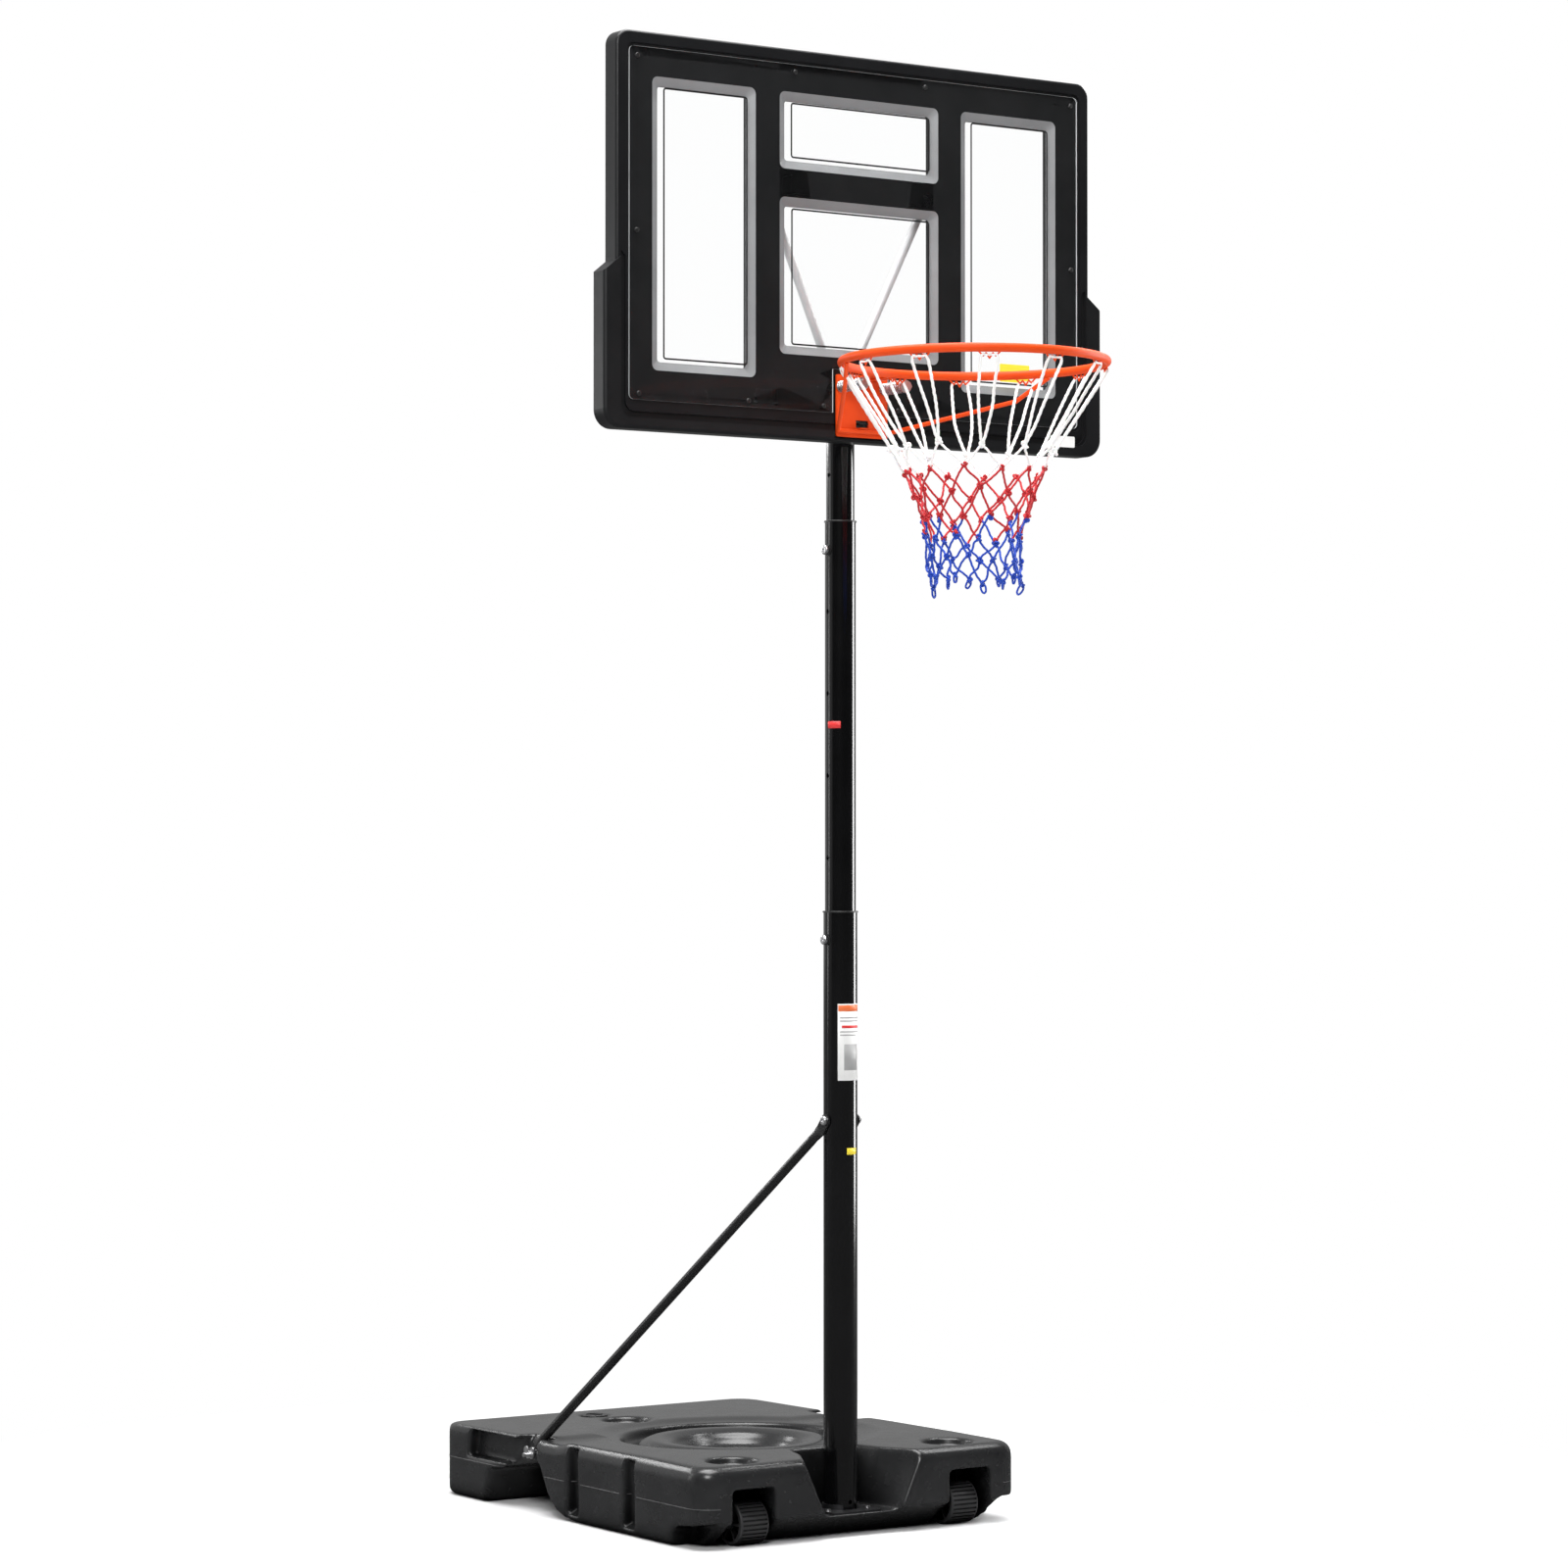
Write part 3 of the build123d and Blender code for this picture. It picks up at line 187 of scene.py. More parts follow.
def steel(name, tone, roughness, strength=0.1):
    """Bare metal with fine streaks along Z."""
    tree, bsdf = new_material(name)
    stretch = {"Scale": (900, 900, 60), "Vector": object_coord(tree)}
    mapping = add_node(tree, "ShaderNodeMapping", stretch)
    streaks = noise(tree, scale=1.0, detail=6.0, roughness=0.6, vector=mapping.outputs["Vector"])
    blotches = noise(tree, scale=60.0, detail=5.0)
    shadow = [channel * 0.82 for channel in tone]
    feed(bsdf, {
        "Base Color": ramp(tree, blotches, [(0.25, shadow), (0.75, tone)]),
        "Roughness": remap(tree, streaks, target=roughness),
        "Normal": bump(tree, streaks, strength, distance=0.0003),
        "Metallic": 1.0,
    })


def cord_material(name, dark, light):
    """Fibrous cord: fine fibre colour mixed with larger blotches."""
    tree, bsdf = new_material(name)
    fibre = noise(tree, scale=1500.0, detail=6.0, roughness=0.75)
    blotch = noise(tree, scale=45.0, detail=4.0)
    fibre_colour = ramp(tree, fibre, [(0.3, dark), (0.7, light)])
    blotch_colour = ramp(tree, blotch, [(0.3, dark), (0.75, light)])
    feed(bsdf, {
        "Base Color": mix_colours(tree, 0.35, fibre_colour, blotch_colour),
        "Roughness": 0.82,
        "Sheen Weight": 0.12,
        "Sheen Roughness": 0.5,
        "Subsurface Weight": 0.08,
        "Subsurface Scale": 0.002,
        "Normal": bump(tree, fibre, strength=0.5, distance=0.0006),
    })


def shade_recesses(name, distance, occlusion):
    """Painted shade in recesses: they take less light, so the surface's own occlusion darkens its
    colour and scales its shine.
    """
    tree = materials[name].node_tree
    bsdf = tree.nodes["Principled BSDF"]
    sampler = add_node(tree, "ShaderNodeAmbientOcclusion", {"Distance": distance}, samples=6)
    openness = remap(tree, sampler.outputs["AO"], source=occlusion)
    colour = bsdf.inputs["Base Color"].links[0].from_socket
    specular = bsdf.inputs["Specular IOR Level"].default_value
    # painted shade: the near-black colour that recesses are darkened towards
    recess_shade_colour = (0.0012, 0.0012, 0.0013, 1)
    feed(bsdf, {
        "Base Color": mix_colours(tree, openness, recess_shade_colour, colour),
        "Specular IOR Level": calculate(tree, "MULTIPLY", openness, specular),
    })


def clear_plastic():
    """Transparent, with a faint gloss on outward faces that grows at grazing angles."""
    tree, bsdf = new_material("clear_plastic")
    tree.nodes.remove(bsdf)
    see_through = add_node(tree, "ShaderNodeBsdfTransparent", {"Color": (0.995, 0.997, 0.997, 1)})
    gloss = add_node(tree, "ShaderNodeBsdfGlossy", {
        "Color": (1, 1, 1, 1),
        "Roughness": remap(tree, noise(tree, scale=12.0, detail=3.0), target=(0.03, 0.07)),
    })
    fresnel = add_node(tree, "ShaderNodeFresnel", {"IOR": 1.16})
    backfacing = add_node(tree, "ShaderNodeNewGeometry").outputs["Backfacing"]
    outward = calculate(tree, "SUBTRACT", 1.0, backfacing)
    factor = calculate(tree, "MULTIPLY", fresnel.outputs[0], outward)
    surface = mix_shaders(tree, factor, see_through.outputs[0], gloss.outputs[0])
    feed(tree.nodes["Material Output"], {"Surface": surface})


# ------------------------------------------------------------------ materials
coated("tank_plastic", dark=(0.013, 0.0132, 0.0138), light=(0.021, 0.0213, 0.022),
       roughness=(0.22, 0.31), peel_scale=2600, peel_strength=0.04,
       grain_scale=700, grain_strength=0.015)
coated("parting_line", dark=(0.060, 0.060, 0.061), light=(0.090, 0.090, 0.092),
       roughness=(0.35, 0.5))
coated("cap_plastic", dark=(0.02, 0.02, 0.021), light=(0.03, 0.03, 0.031), roughness=(0.4, 0.5))
coated("pole_paint", dark=(0.0016, 0.0016, 0.0018), light=(0.0034, 0.0034, 0.0038),
       roughness=(0.13, 0.17), peel_strength=0.0, coat=0.2)
coated("stay_paint", dark=(0.007, 0.007, 0.0075), light=(0.012, 0.012, 0.0125),
       roughness=(0.24, 0.30), peel_strength=0.0, coat=0.1)
coated("bush_plastic", dark=grey(0.012), light=grey(0.02), roughness=(0.35, 0.5))
coated("board_plastic", dark=(0.0080, 0.0083, 0.0090), light=(0.0125, 0.0127, 0.0135),
       roughness=(0.42, 0.52), peel_scale=1500, peel_strength=0.03, specular=0.25)
coated("board_rim_plastic", dark=(0.0070, 0.0072, 0.0078), light=(0.0105, 0.0108, 0.0118),
       roughness=(0.28, 0.38), peel_scale=1700, peel_strength=0.04,
       grain_scale=500, grain_strength=0.02, specular=0.24)
coated("bevel_grey", dark=(0.22, 0.222, 0.228), light=(0.28, 0.283, 0.29),
       roughness=(0.34, 0.46), peel_scale=1500, peel_strength=0.04)
coated("guard_plastic", dark=(0.0085, 0.0088, 0.0095), light=(0.013, 0.0133, 0.0142),
       roughness=(0.32, 0.42), peel_scale=1500, peel_strength=0.05,
       grain_scale=420, grain_strength=0.03, specular=0.26)
coated("printed_line", dark=grey(0.004), light=grey(0.008), roughness=(0.3, 0.4))
coated("black_screws", dark=grey(0.03), light=grey(0.05), roughness=(0.3, 0.42), metallic=0.6)
coated("rim_orange", dark=(0.68, 0.056, 0.0038), light=(0.75, 0.068, 0.0055),
       roughness=(0.44, 0.54), peel_scale=700, peel_strength=0.015, specular=0.17)
steel("zinc_steel", tone=(0.78, 0.78, 0.79), roughness=(0.22, 0.38))
steel("dull_zinc", tone=(0.11, 0.11, 0.115), roughness=(0.30, 0.48), strength=0.05)
# painted reflection: the struts are black, and this light grey stands in for the glare and haze
# of the clear sheet in front of them
coated("galvanised", dark=(0.56, 0.565, 0.575), light=(0.72, 0.725, 0.735),
       roughness=(0.32, 0.48), peel_scale=160, peel_strength=0.05, metallic=0.15)
steel("spring_steel", tone=(0.74, 0.74, 0.76), roughness=(0.2, 0.34))
coated("seal_rubber", dark=grey(0.012), light=grey(0.02), roughness=(0.6, 0.75))
coated("wheel_plastic", dark=(0.016, 0.016, 0.017), light=(0.028, 0.028, 0.029),
       roughness=(0.40, 0.56), peel_scale=1200, peel_strength=0.25)
cord_material("cord_white", dark=(0.74, 0.735, 0.72), light=(0.96, 0.955, 0.945))
cord_material("cord_red", dark=(0.34, 0.005, 0.009), light=(0.62, 0.011, 0.018))
cord_material("cord_blue", dark=(0.003, 0.028, 0.26), light=(0.007, 0.080, 0.62))
coated("label_white", dark=(0.70, 0.70, 0.69), light=(0.80, 0.80, 0.79), roughness=(0.35, 0.5))
coated("label_orange", dark=(0.75, 0.14, 0.03), light=(0.80, 0.17, 0.04), roughness=(0.35, 0.5))
coated("label_yellow", dark=(0.80, 0.62, 0.02), light=(0.85, 0.68, 0.04), roughness=(0.35, 0.5))
coated("label_red", dark=(0.65, 0.02, 0.02), light=(0.70, 0.03, 0.03), roughness=(0.35, 0.5))
coated("label_grey", dark=grey(0.30), light=grey(0.36), roughness=(0.4, 0.5))
# painted shade in the recesses of the tank and the wheels
shade_recesses("tank_plastic", distance=0.07, occlusion=(0.30, 0.80))
shade_recesses("wheel_plastic", distance=0.03, occlusion=(0.25, 0.85))
clear_plastic()
# painted highlight: a light grey on the clear sheet's edge faces stands in for the light those
# edges catch
coated("sheet_edge_highlight", dark=(0.55, 0.57, 0.58), light=(0.70, 0.72, 0.73), roughness=(0.15, 0.3))

# material: the CAD pieces that wear it
FINISHES = {
    "tank_plastic": "base_tank",
    "cap_plastic": "fill_cap",
    "seal_rubber": "fill_cap_seal",
    "wheel_plastic": "wheel_left wheel_right wheel_spacers",
    "dull_zinc": "foot_plate",
    "zinc_steel": """wheel_axles foot_plate_screws lower_lock_bolt upper_lock_bolt stay_top_bolt
        stay_top_nut stay_studs stay_washers wing_nut_left wing_nut_right head_bolts head_nuts
        strut_bolts mount_studs mount_nuts spring_bolts spring_washers spring_nuts""",
    "bush_plastic": """lower_foot_plug upper_tube_cap lower_mouth_bush middle_mouth_bush
        middle_glide_ring upper_glide_ring lower_lock_washer upper_lock_washer""",
    "pole_paint": """lower_tube middle_tube upper_tube board_back_plate head_bracket
        rim_mount_bracket""",
    "stay_paint": "stay_left stay_right",
    "board_plastic": "board_frame",
    "guard_plastic": "edge_guard",
    "clear_plastic": "clear_sheet",
    "black_screws": "sheet_screws",
    # the light grey on the black struts is painted reflection
    "galvanised": "strut_left strut_right",
    "rim_orange": "rim_flange rim_top_plate rim_ring rim_brace_rod net_hooks",
    "spring_steel": "rim_spring_left rim_spring_right",
    "cord_white": "net",
}


def finish_cad_pieces():
    finish = {piece: name for name, pieces in FINISHES.items() for piece in pieces.split()}
    for piece, obj in nodes.items():
        obj.data.materials.clear()
        obj.data.materials.append(materials[finish[piece]])


def finish_board_frame():
    """Grey on the bevels round the openings, texture on the outer rim, plain plastic between."""
    rim_y, bevel_back_y = -0.0645, -0.0545
    bevel_half_width = 0.47
    mesh = nodes["board_frame"].data
    mesh.materials.append(materials["bevel_grey"])
    mesh.materials.append(materials["board_rim_plastic"])
    for face in mesh.polygons:
        centre, normal = face.center, face.normal
        face.material_index = 0
        in_bevel_depth = rim_y < centre.y < bevel_back_y
        if in_bevel_depth and -0.97 < normal.y < -0.3 and abs(centre.x) < bevel_half_width:
            face.material_index = 1
        elif centre.y < rim_y or normal.y > -0.3:
            face.material_index = 2


def paint_sheet_edge_highlight():
    # painted highlight: the sheet's edge faces take the light grey
    mesh = nodes["clear_sheet"].data
    mesh.materials.append(materials["sheet_edge_highlight"])
    for face in mesh.polygons:
        face.material_index = 1 if abs(face.normal.y) < 0.5 else 0


finish_cad_pieces()
finish_board_frame()
paint_sheet_edge_highlight()


# ------------------------------------------------------------------ mesh helpers
def make_mesh(name, verts, faces):
    mesh = bpy.data.meshes.new(name)
    mesh.from_pydata([tuple(vert) for vert in verts], [], faces)
    mesh.update()
    return mesh


def add_object(name, data):
    obj = bpy.data.objects.new(name, data)
    scene.collection.objects.link(obj)
    return obj


def dress(obj, body, material, smooth=True):
    """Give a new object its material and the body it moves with."""
    obj.data.materials.append(materials[material])
    if smooth:
        for face in obj.data.polygons:
            face.use_smooth = True
    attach(obj, body)
    return obj


def catmull(points, step):
    """Catmull-Rom curve through the points, sampled about every step."""
    ends = [points[0] * 2 - points[1]], [points[-1] * 2 - points[-2]]
    padded = ends[0] + points + ends[1]
    curve = []
    for p0, p1, p2, p3 in zip(padded, padded[1:], padded[2:], padded[3:]):
        count = max(2, int((p2 - p1).length / step))
        for k in range(count):
            t = k / count
            curve.append(0.5 * ((2 * p1) + (p2 - p0) * t + (2 * p0 - 5 * p1 + 4 * p2 - p3) * t * t
                                + (3 * p1 - p0 - 3 * p2 + p3) * t ** 3))
    curve.append(points[-1])
    return curve


class Tubes:
    """Collects round tubes into one mesh."""

    def __init__(self):
        self.verts = []
        self.faces = []

    def add(self, path, radius, sides, closed=False, swell=0.0, lay=0.011):
        """Sweep a circle along a path.

        radius is a number, or a function of the way along from 0 to 1. swell raises three
        strands by that share of the radius, and they make one turn in each length of lay.
        """
        count = len(path)
        tangents = []
        for i in range(count):
            before = path[i - 1] if closed or i > 0 else path[i]
            after = path[(i + 1) % count] if closed or i < count - 1 else path[i]
            tangents.append((after - before).normalized())
        first = tangents[0]
        up = Vector((0, 0, 1)) if abs(first.z) < 0.9 else Vector((1, 0, 0))
        normal = (up - first * up.dot(first)).normalized()
        base = len(self.verts)
        travelled = 0.0
        for i, (point, tangent) in enumerate(zip(path, tangents)):
            if i:
                travelled += (point - path[i - 1]).length
            normal = (normal - tangent * normal.dot(tangent)).normalized()
            binormal = tangent.cross(normal)
            ring_radius = radius(i / (count - 1)) if callable(radius) else radius
            for k in range(sides):
                angle = 2 * math.pi * k / sides
                strand = math.cos(3 * angle - 2 * math.pi * travelled / lay)
                r = ring_radius * (1 + swell * strand)
                self.verts.append(point + normal * (r * math.cos(angle))
                                  + binormal * (r * math.sin(angle)))
        for i in range(count if closed else count - 1):
            row = base + i * sides
            next_row = base + ((i + 1) % count) * sides
            for k in range(sides):
                after = (k + 1) % sides
                self.faces.append((row + k, row + after, next_row + after, next_row + k))
        if not closed:
            last_row = base + (count - 1) * sides
            self.faces.append(tuple(base + k for k in reversed(range(sides))))
            self.faces.append(tuple(last_row + k for k in range(sides)))

    def mesh(self, name):
        return make_mesh(name, self.verts, self.faces)


# ------------------------------------------------------------------ base tank
PLUG_RADIUS, PLUG_Z, PLUG_SIDES = 0.0302, 0.1331, 48
RAY_COUNT = 56
STUD_BORE, AXLE_BORE, SCREW_BORE = 0.0075, 0.0095, 0.0065    # radii that take in the bore walls
PARTING_Z, BEAD_RADIUS = 0.0752, 0.0008


def sphere_directions(count):
    """Unit vectors spread evenly over a sphere on a golden-angle spiral."""
    golden_angle = math.pi * (3 - math.sqrt(5))
    directions = []
    for i in range(count):
        z = 1 - 2 * (i + 0.5) / count
        r = math.sqrt(1 - z * z)
        directions.append(Vector((r * math.cos(golden_angle * i),
                                  r * math.sin(golden_angle * i), z)))
    return directions


def box_centre(piece):
    low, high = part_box(piece)
    return (low + high) / 2


def bore_test():
    """A test for the walls and ends of the narrow bores.

    Those faces are left out, so that each bore's mouth closes flat.
    """
    cross_bores = ((box_centre("stay_studs"), STUD_BORE), (box_centre("wheel_axles"), AXLE_BORE))
    low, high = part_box("foot_plate_screws")
    screw_y = (low.y + high.y) / 2
    screw_x = high.x - (high.y - low.y) / 2

    def in_bore(centre, normal):
        for middle, radius in cross_bores:
            if math.hypot(centre.y - middle.y, centre.z - middle.z) < radius:
                if abs(normal.x) < 0.5 or 0.2 < abs(centre.x) < 0.28:
                    return True
        near_screw = math.hypot(abs(centre.x) - screw_x, centre.y - screw_y) < SCREW_BORE
        return near_screw and centre.z < 0.06 and (abs(normal.z) < 0.5 or centre.z < 0.03)

    return in_bore


def outer_skin(mesh):
    """The tank's outside only: faces that some ray can leave from, the filler hole plugged."""
    verts = [vert.co.copy() for vert in mesh.vertices]
    low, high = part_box("fill_cap")
    cap_x, cap_y = (low.x + high.x) / 2, (low.y + high.y) / 2
    plug = tuple(range(len(verts), len(verts) + PLUG_SIDES))
    for k in range(PLUG_SIDES):
        angle = 2 * math.pi * k / PLUG_SIDES
        verts.append(Vector((cap_x + PLUG_RADIUS * math.cos(angle),
                             cap_y + PLUG_RADIUS * math.sin(angle), PLUG_Z)))
    faces = [tuple(face.vertices) for face in mesh.polygons]
    tree = BVHTree.FromPolygons(verts, faces + [plug])
    directions = sphere_directions(RAY_COUNT)
    in_bore = bore_test()

    def sees_out(centre, normal):
        start = centre + normal * 0.0004
        return any(ray.dot(normal) > 0.08 and tree.ray_cast(start, ray)[0] is None
                   for ray in directions)

    kept = []
    for face in mesh.polygons:
        if not in_bore(face.center, face.normal) and sees_out(face.center, face.normal):
            kept.append(tuple(face.vertices))
    return verts, kept + [plug]


def close_holes(mesh):
    bm = bmesh.new()
    bm.from_mesh(mesh)
    bmesh.ops.remove_doubles(bm, verts=bm.verts, dist=1e-6)
    loose = [vert for vert in bm.verts if not vert.link_faces]
    bmesh.ops.delete(bm, geom=loose, context="VERTS")
    # one filling can leave smaller gaps, so it is repeated
    for _ in range(3):
        open_edges = [edge for edge in bm.edges if edge.is_boundary]
        bmesh.ops.holes_fill(bm, edges=open_edges, sides=0)
        bmesh.ops.triangulate(bm, faces=bm.faces)
    bmesh.ops.recalc_face_normals(bm, faces=bm.faces)
    bm.to_mesh(mesh)
    bm.free()


def remesh_and_smooth(obj):
    bpy.context.view_layer.objects.active = obj
    obj.select_set(True)
    remesh = obj.modifiers.new("Remesh", "REMESH")
    remesh.mode = "VOXEL"
    remesh.voxel_size = 0.0034
    smooth = obj.modifiers.new("Smooth", "SMOOTH")
    smooth.factor = 0.5
    smooth.iterations = 22
    for modifier in list(obj.modifiers):
        bpy.ops.object.modifier_apply(modifier=modifier.name)
    obj.select_set(False)


def ease(x):
    """Smooth step from 0 to 1."""
    x = min(1.0, max(0.0, x))
    return x * x * (3 - 2 * x)


def soften_top(mesh):
    """The deck sinks a little around the dish and out to the stay pockets, and crowns between."""
    fade_z, fade_height = 0.112, 0.020
    dish_y, moat_radius, moat_depth = 0.350, 0.285, 0.0065
    trough_y, trough_half_width, trough_start_x, trough_depth = 0.452, 0.062, 0.12, 0.0060
    for vert in mesh.vertices:
        x, y, z = vert.co
        if z < fade_z:
            continue
        from_dish = math.hypot(x, y - dish_y)
        moat = moat_depth * ease((moat_radius - from_dish) / 0.050)
        trough = (trough_depth * ease((trough_half_width - abs(y - trough_y)) / 0.045)
                  * ease((abs(x) - trough_start_x) / 0.08))
        vert.co.z -= ease((z - fade_z) / fade_height) * max(moat, trough)


def cut_flank_grooves(mesh):
    """Crisp walls for the upright grooves in the flanks."""
    flank_x, groove_depth = 0.326, 0.0085
    bottom_z, top_z, end_fade = 0.017, 0.1405, 0.006
    for vert in mesh.vertices:
        x, y, z = vert.co
        if abs(x) < flank_x:
            continue
        for groove_y in (0.367, 0.169):
            offset = abs(y - groove_y)
            if offset < 0.020:
                depth = (ease((0.0195 - offset) / 0.0045) * ease((top_z - z) / end_fade)
                         * ease((z - bottom_z) / end_fade))
                vert.co.x -= math.copysign(groove_depth * depth, x)


def level_outlines(mesh, z):
    """Chains of points where the mesh crosses a height."""
    bm = bmesh.new()
    bm.from_mesh(mesh)
    cut = bmesh.ops.bisect_plane(bm, geom=bm.verts[:] + bm.edges[:] + bm.faces[:],
                                 plane_co=(0, 0, z), plane_no=(0, 0, 1))
    bm.verts.index_update()
    neighbours = {}
    for edge in cut["geom_cut"]:
        if isinstance(edge, bmesh.types.BMEdge):
            a, b = edge.verts[0].index, edge.verts[1].index
            neighbours.setdefault(a, []).append(b)
            neighbours.setdefault(b, []).append(a)
    bm.verts.ensure_lookup_table()
    places = {i: bm.verts[i].co.copy() for i in neighbours}
    bm.free()
    seen, chains = set(), []
    for start in neighbours:
        if start in seen:
            continue
        chain = []
        onward = [start]
        while onward:
            chain.append(onward[0])
            seen.add(onward[0])
            onward = [i for i in neighbours[chain[-1]] if i not in seen]
        chains.append([places[i] for i in chain])
    return chains


def on_flank(point):
    return (abs(point.x) > 0.338 or point.y > 0.845
            or (point.y < -0.045 and abs(point.x) > 0.31))


def flank_runs(chain):
    """The unbroken stretches of a chain that lie on the flanks."""
    start = next((k for k, point in enumerate(chain) if not on_flank(point)), 0)
    runs, run = [], []
    for point in chain[start:] + chain[:start] + [None]:
        if point is not None and on_flank(point):
            run.append(point)
        else:
            runs.append(run)
            run = []
    return runs


def parting_line(tank_mesh):
    """The mould's parting line: a fine bead round the flanks."""
    bead = Tubes()
    for chain in level_outlines(tank_mesh, PARTING_Z):
        for run in flank_runs(chain):
            if len(run) <= 14:
                continue
            path = run[2:-2:2]
            for _ in range(2):
                inner = [(before + here * 2 + after) / 4
                         for before, here, after in zip(path, path[1:], path[2:])]
                path = [path[0]] + inner + [path[-1]]
            bead.add(path, BEAD_RADIUS, sides=6)
    if bead.verts:
        obj = add_object("tank_parting_line", bead.mesh("tank_parting_line"))
        dress(obj, "base", "parting_line")


def base_tank():
    verts, faces = outer_skin(nodes["base_tank"].data)
    mesh = make_mesh("tank_shell", verts, faces)
    close_holes(mesh)
    obj = add_object("tank_shell", mesh)
    remesh_and_smooth(obj)
    soften_top(obj.data)
    cut_flank_grooves(obj.data)
    dress(obj, "base", "tank_plastic")
    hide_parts("base_tank")
    parting_line(obj.data)


base_tank()


# ------------------------------------------------------------------ net
RIM = Vector((0, -0.4196, 2.1345))
HOOK_COUNT = 12
HOOK_RADIUS = 0.2365
SPACING = 360 / HOOK_COUNT                      # degrees between hooks, and between knots
LOOP_CORD, TOP_CORD, CORD = 0.00265, 0.0021, 0.0020          # cord radii
OPEN_CORD = {"sides": 10, "swell": 0.13}
CLOSED_CORD = {"sides": 8, "swell": 0.12, "closed": True}

# height, net radius
NET_PROFILE = [
    (2.118, 0.2335), (2.086, 0.214), (2.010, 0.166), (1.978, 0.147), (1.938, 0.1235),
    (1.898, 0.109), (1.858, 0.0955), (1.818, 0.0865), (1.775, 0.0845), (1.735, 0.083),
    (1.70, 0.082),
]
KNOT_LEVELS = [1.978, 1.938, 1.899, 1.860, 1.818, 1.777]
# colours of the two cords that go down from each knot, one entry per level
CORD_COLOURS = [
    ("white", "white"), ("red", "red"), ("red", "red"), ("blue", "red"), ("blue", "blue"),
]
KNOT_COLOURS = {1: "red", 2: "red", 3: "red", 4: "blue", 5: "blue"}
BOTTOM_Z = 1.742

# one leg of a hook loop, from the hook outwards: sideways, above the rim centre, out from hook
LOOP_HALF_WIDTH = 0.0146
LOOP_END_DROP, LOOP_END_OUT = -0.0270, -0.006
LOOP_TOP = [
    (0.0035, -0.0132, 0.0012), (0.0085, -0.0128, 0.0020), (0.0122, -0.0125, 0.0018),
    (LOOP_HALF_WIDTH, -0.0170, 0.0), (LOOP_HALF_WIDTH + 0.0006, LOOP_END_DROP, LOOP_END_OUT),
]

dice = random.Random(7)
cords = {"white": Tubes(), "red": Tubes(), "blue": Tubes()}


def vary(amount):
    return dice.uniform(-amount, amount)


def around_rim(degrees, radius, z, sideways=0.0):
    angle = math.radians(degrees)
    return Vector((RIM.x + radius * math.cos(angle) - sideways * math.sin(angle),
                   RIM.y + radius * math.sin(angle) + sideways * math.cos(angle), z))


def net_radius(z):
    for (top, top_radius), (low, low_radius) in zip(NET_PROFILE, NET_PROFILE[1:]):
        if z >= low:
            return top_radius + (low_radius - top_radius) * ((top - z) / (top - low))


def on_net(degrees, z, outward):
    return around_rim(degrees, net_radius(z) + outward, z)


def knot_rows():
    """Knot places row by row, staggered by half a spacing and looser further down."""
    rows = []
    for level, z in enumerate(KNOT_LEVELS):
        stagger = SPACING / 2 * (level % 2)
        rows.append([
            on_net(stagger + SPACING * k + vary(1.6 + 0.75 * level),
                   z + vary(0.0045 + 0.0010 * level),
                   vary(0.0022 + 0.0006 * level))
            for k in range(HOOK_COUNT)
        ])
    return rows


knot_places = knot_rows()


def knot_at(level, k):
    return knot_places[level][k % HOOK_COUNT]


def net_axes(point):
    """Directions outward from the net's axis and sideways round it."""
    out = Vector((point.x - RIM.x, point.y - RIM.y, 0)).normalized()
    return out, Vector((-out.y, out.x, 0))


def cord(colour, start, end, radius, sway, sag=0.0):
    out, side = net_axes((start + end) / 2)
    points = [start]
    for t in (0.3, 0.68):
        points.append(start.lerp(end, t) + side * vary(sway) + out * vary(sway * 0.7)
                      + Vector((0, 0, -sag * 4 * t * (1 - t))))
    points.append(end)
    cords[colour].add(catmull(points, 0.0022), radius, **OPEN_CORD)


def knot(colour, centre, size, radius=CORD):
    """A small pulled-tight knot: a trefoil of the same cord."""
    turn, tilt = vary(math.pi), vary(0.6)
    rotation = (Matrix.Rotation(turn, 3, "Z") @ Matrix.Rotation(math.pi / 2 + tilt, 3, "X")
                @ Matrix.Rotation(vary(math.pi), 3, "Z"))
    points = []
    for i in range(42):
        t = 2 * math.pi * i / 42
        trefoil = Vector((math.sin(t) + 2 * math.sin(2 * t),
                          math.cos(t) - 2 * math.cos(2 * t), -1.2 * math.sin(3 * t)))
        points.append(centre + rotation @ (trefoil * size / 3.0))
    cords[colour].add(points, radius, **CLOSED_CORD)


def loop_radius(t):
    """The cord is thinner where it lies in the hook, at the middle of its length."""
    return LOOP_CORD * (0.62 + 0.38 * min(1.0, abs(t - 0.5) / 0.07))


def hook_loop(k):
    """One long loop over a hook, its two legs knotted together below."""
    degrees = SPACING * k
    foot = knot_at(0, k)
    angle = math.radians(degrees)
    side = Vector((-math.sin(angle), math.cos(angle), 0))
    middle = around_rim(degrees, HOOK_RADIUS + LOOP_END_OUT, RIM.z + LOOP_END_DROP)
    bows = vary(0.004), vary(0.004)
    legs = []
    for sign, bow in zip((-1, 1), bows):
        leg = [around_rim(degrees, HOOK_RADIUS + outward, RIM.z + rise, sign * sideways)
               for sideways, rise, outward in LOOP_TOP]
        top = leg[-1]
        for t in (0.28, 0.52, 0.74, 0.9):
            point = top.lerp(foot, t)
            centred = point - side * ((point - middle.lerp(foot, t)).dot(side))
            width = (LOOP_HALF_WIDTH * (1 - t ** 2.6)) * sign
            leg.append(centred + side * (width + bow * 4 * t * (1 - t) + vary(0.0012)))
        leg.append(foot)
        legs.append(leg)
    path = list(reversed(legs[0])) + legs[1]
    cords["white"].add(catmull(path, 0.0024), loop_radius, lay=0.014, **OPEN_CORD)
    knot("white", foot, 0.0062, LOOP_CORD * 0.95)


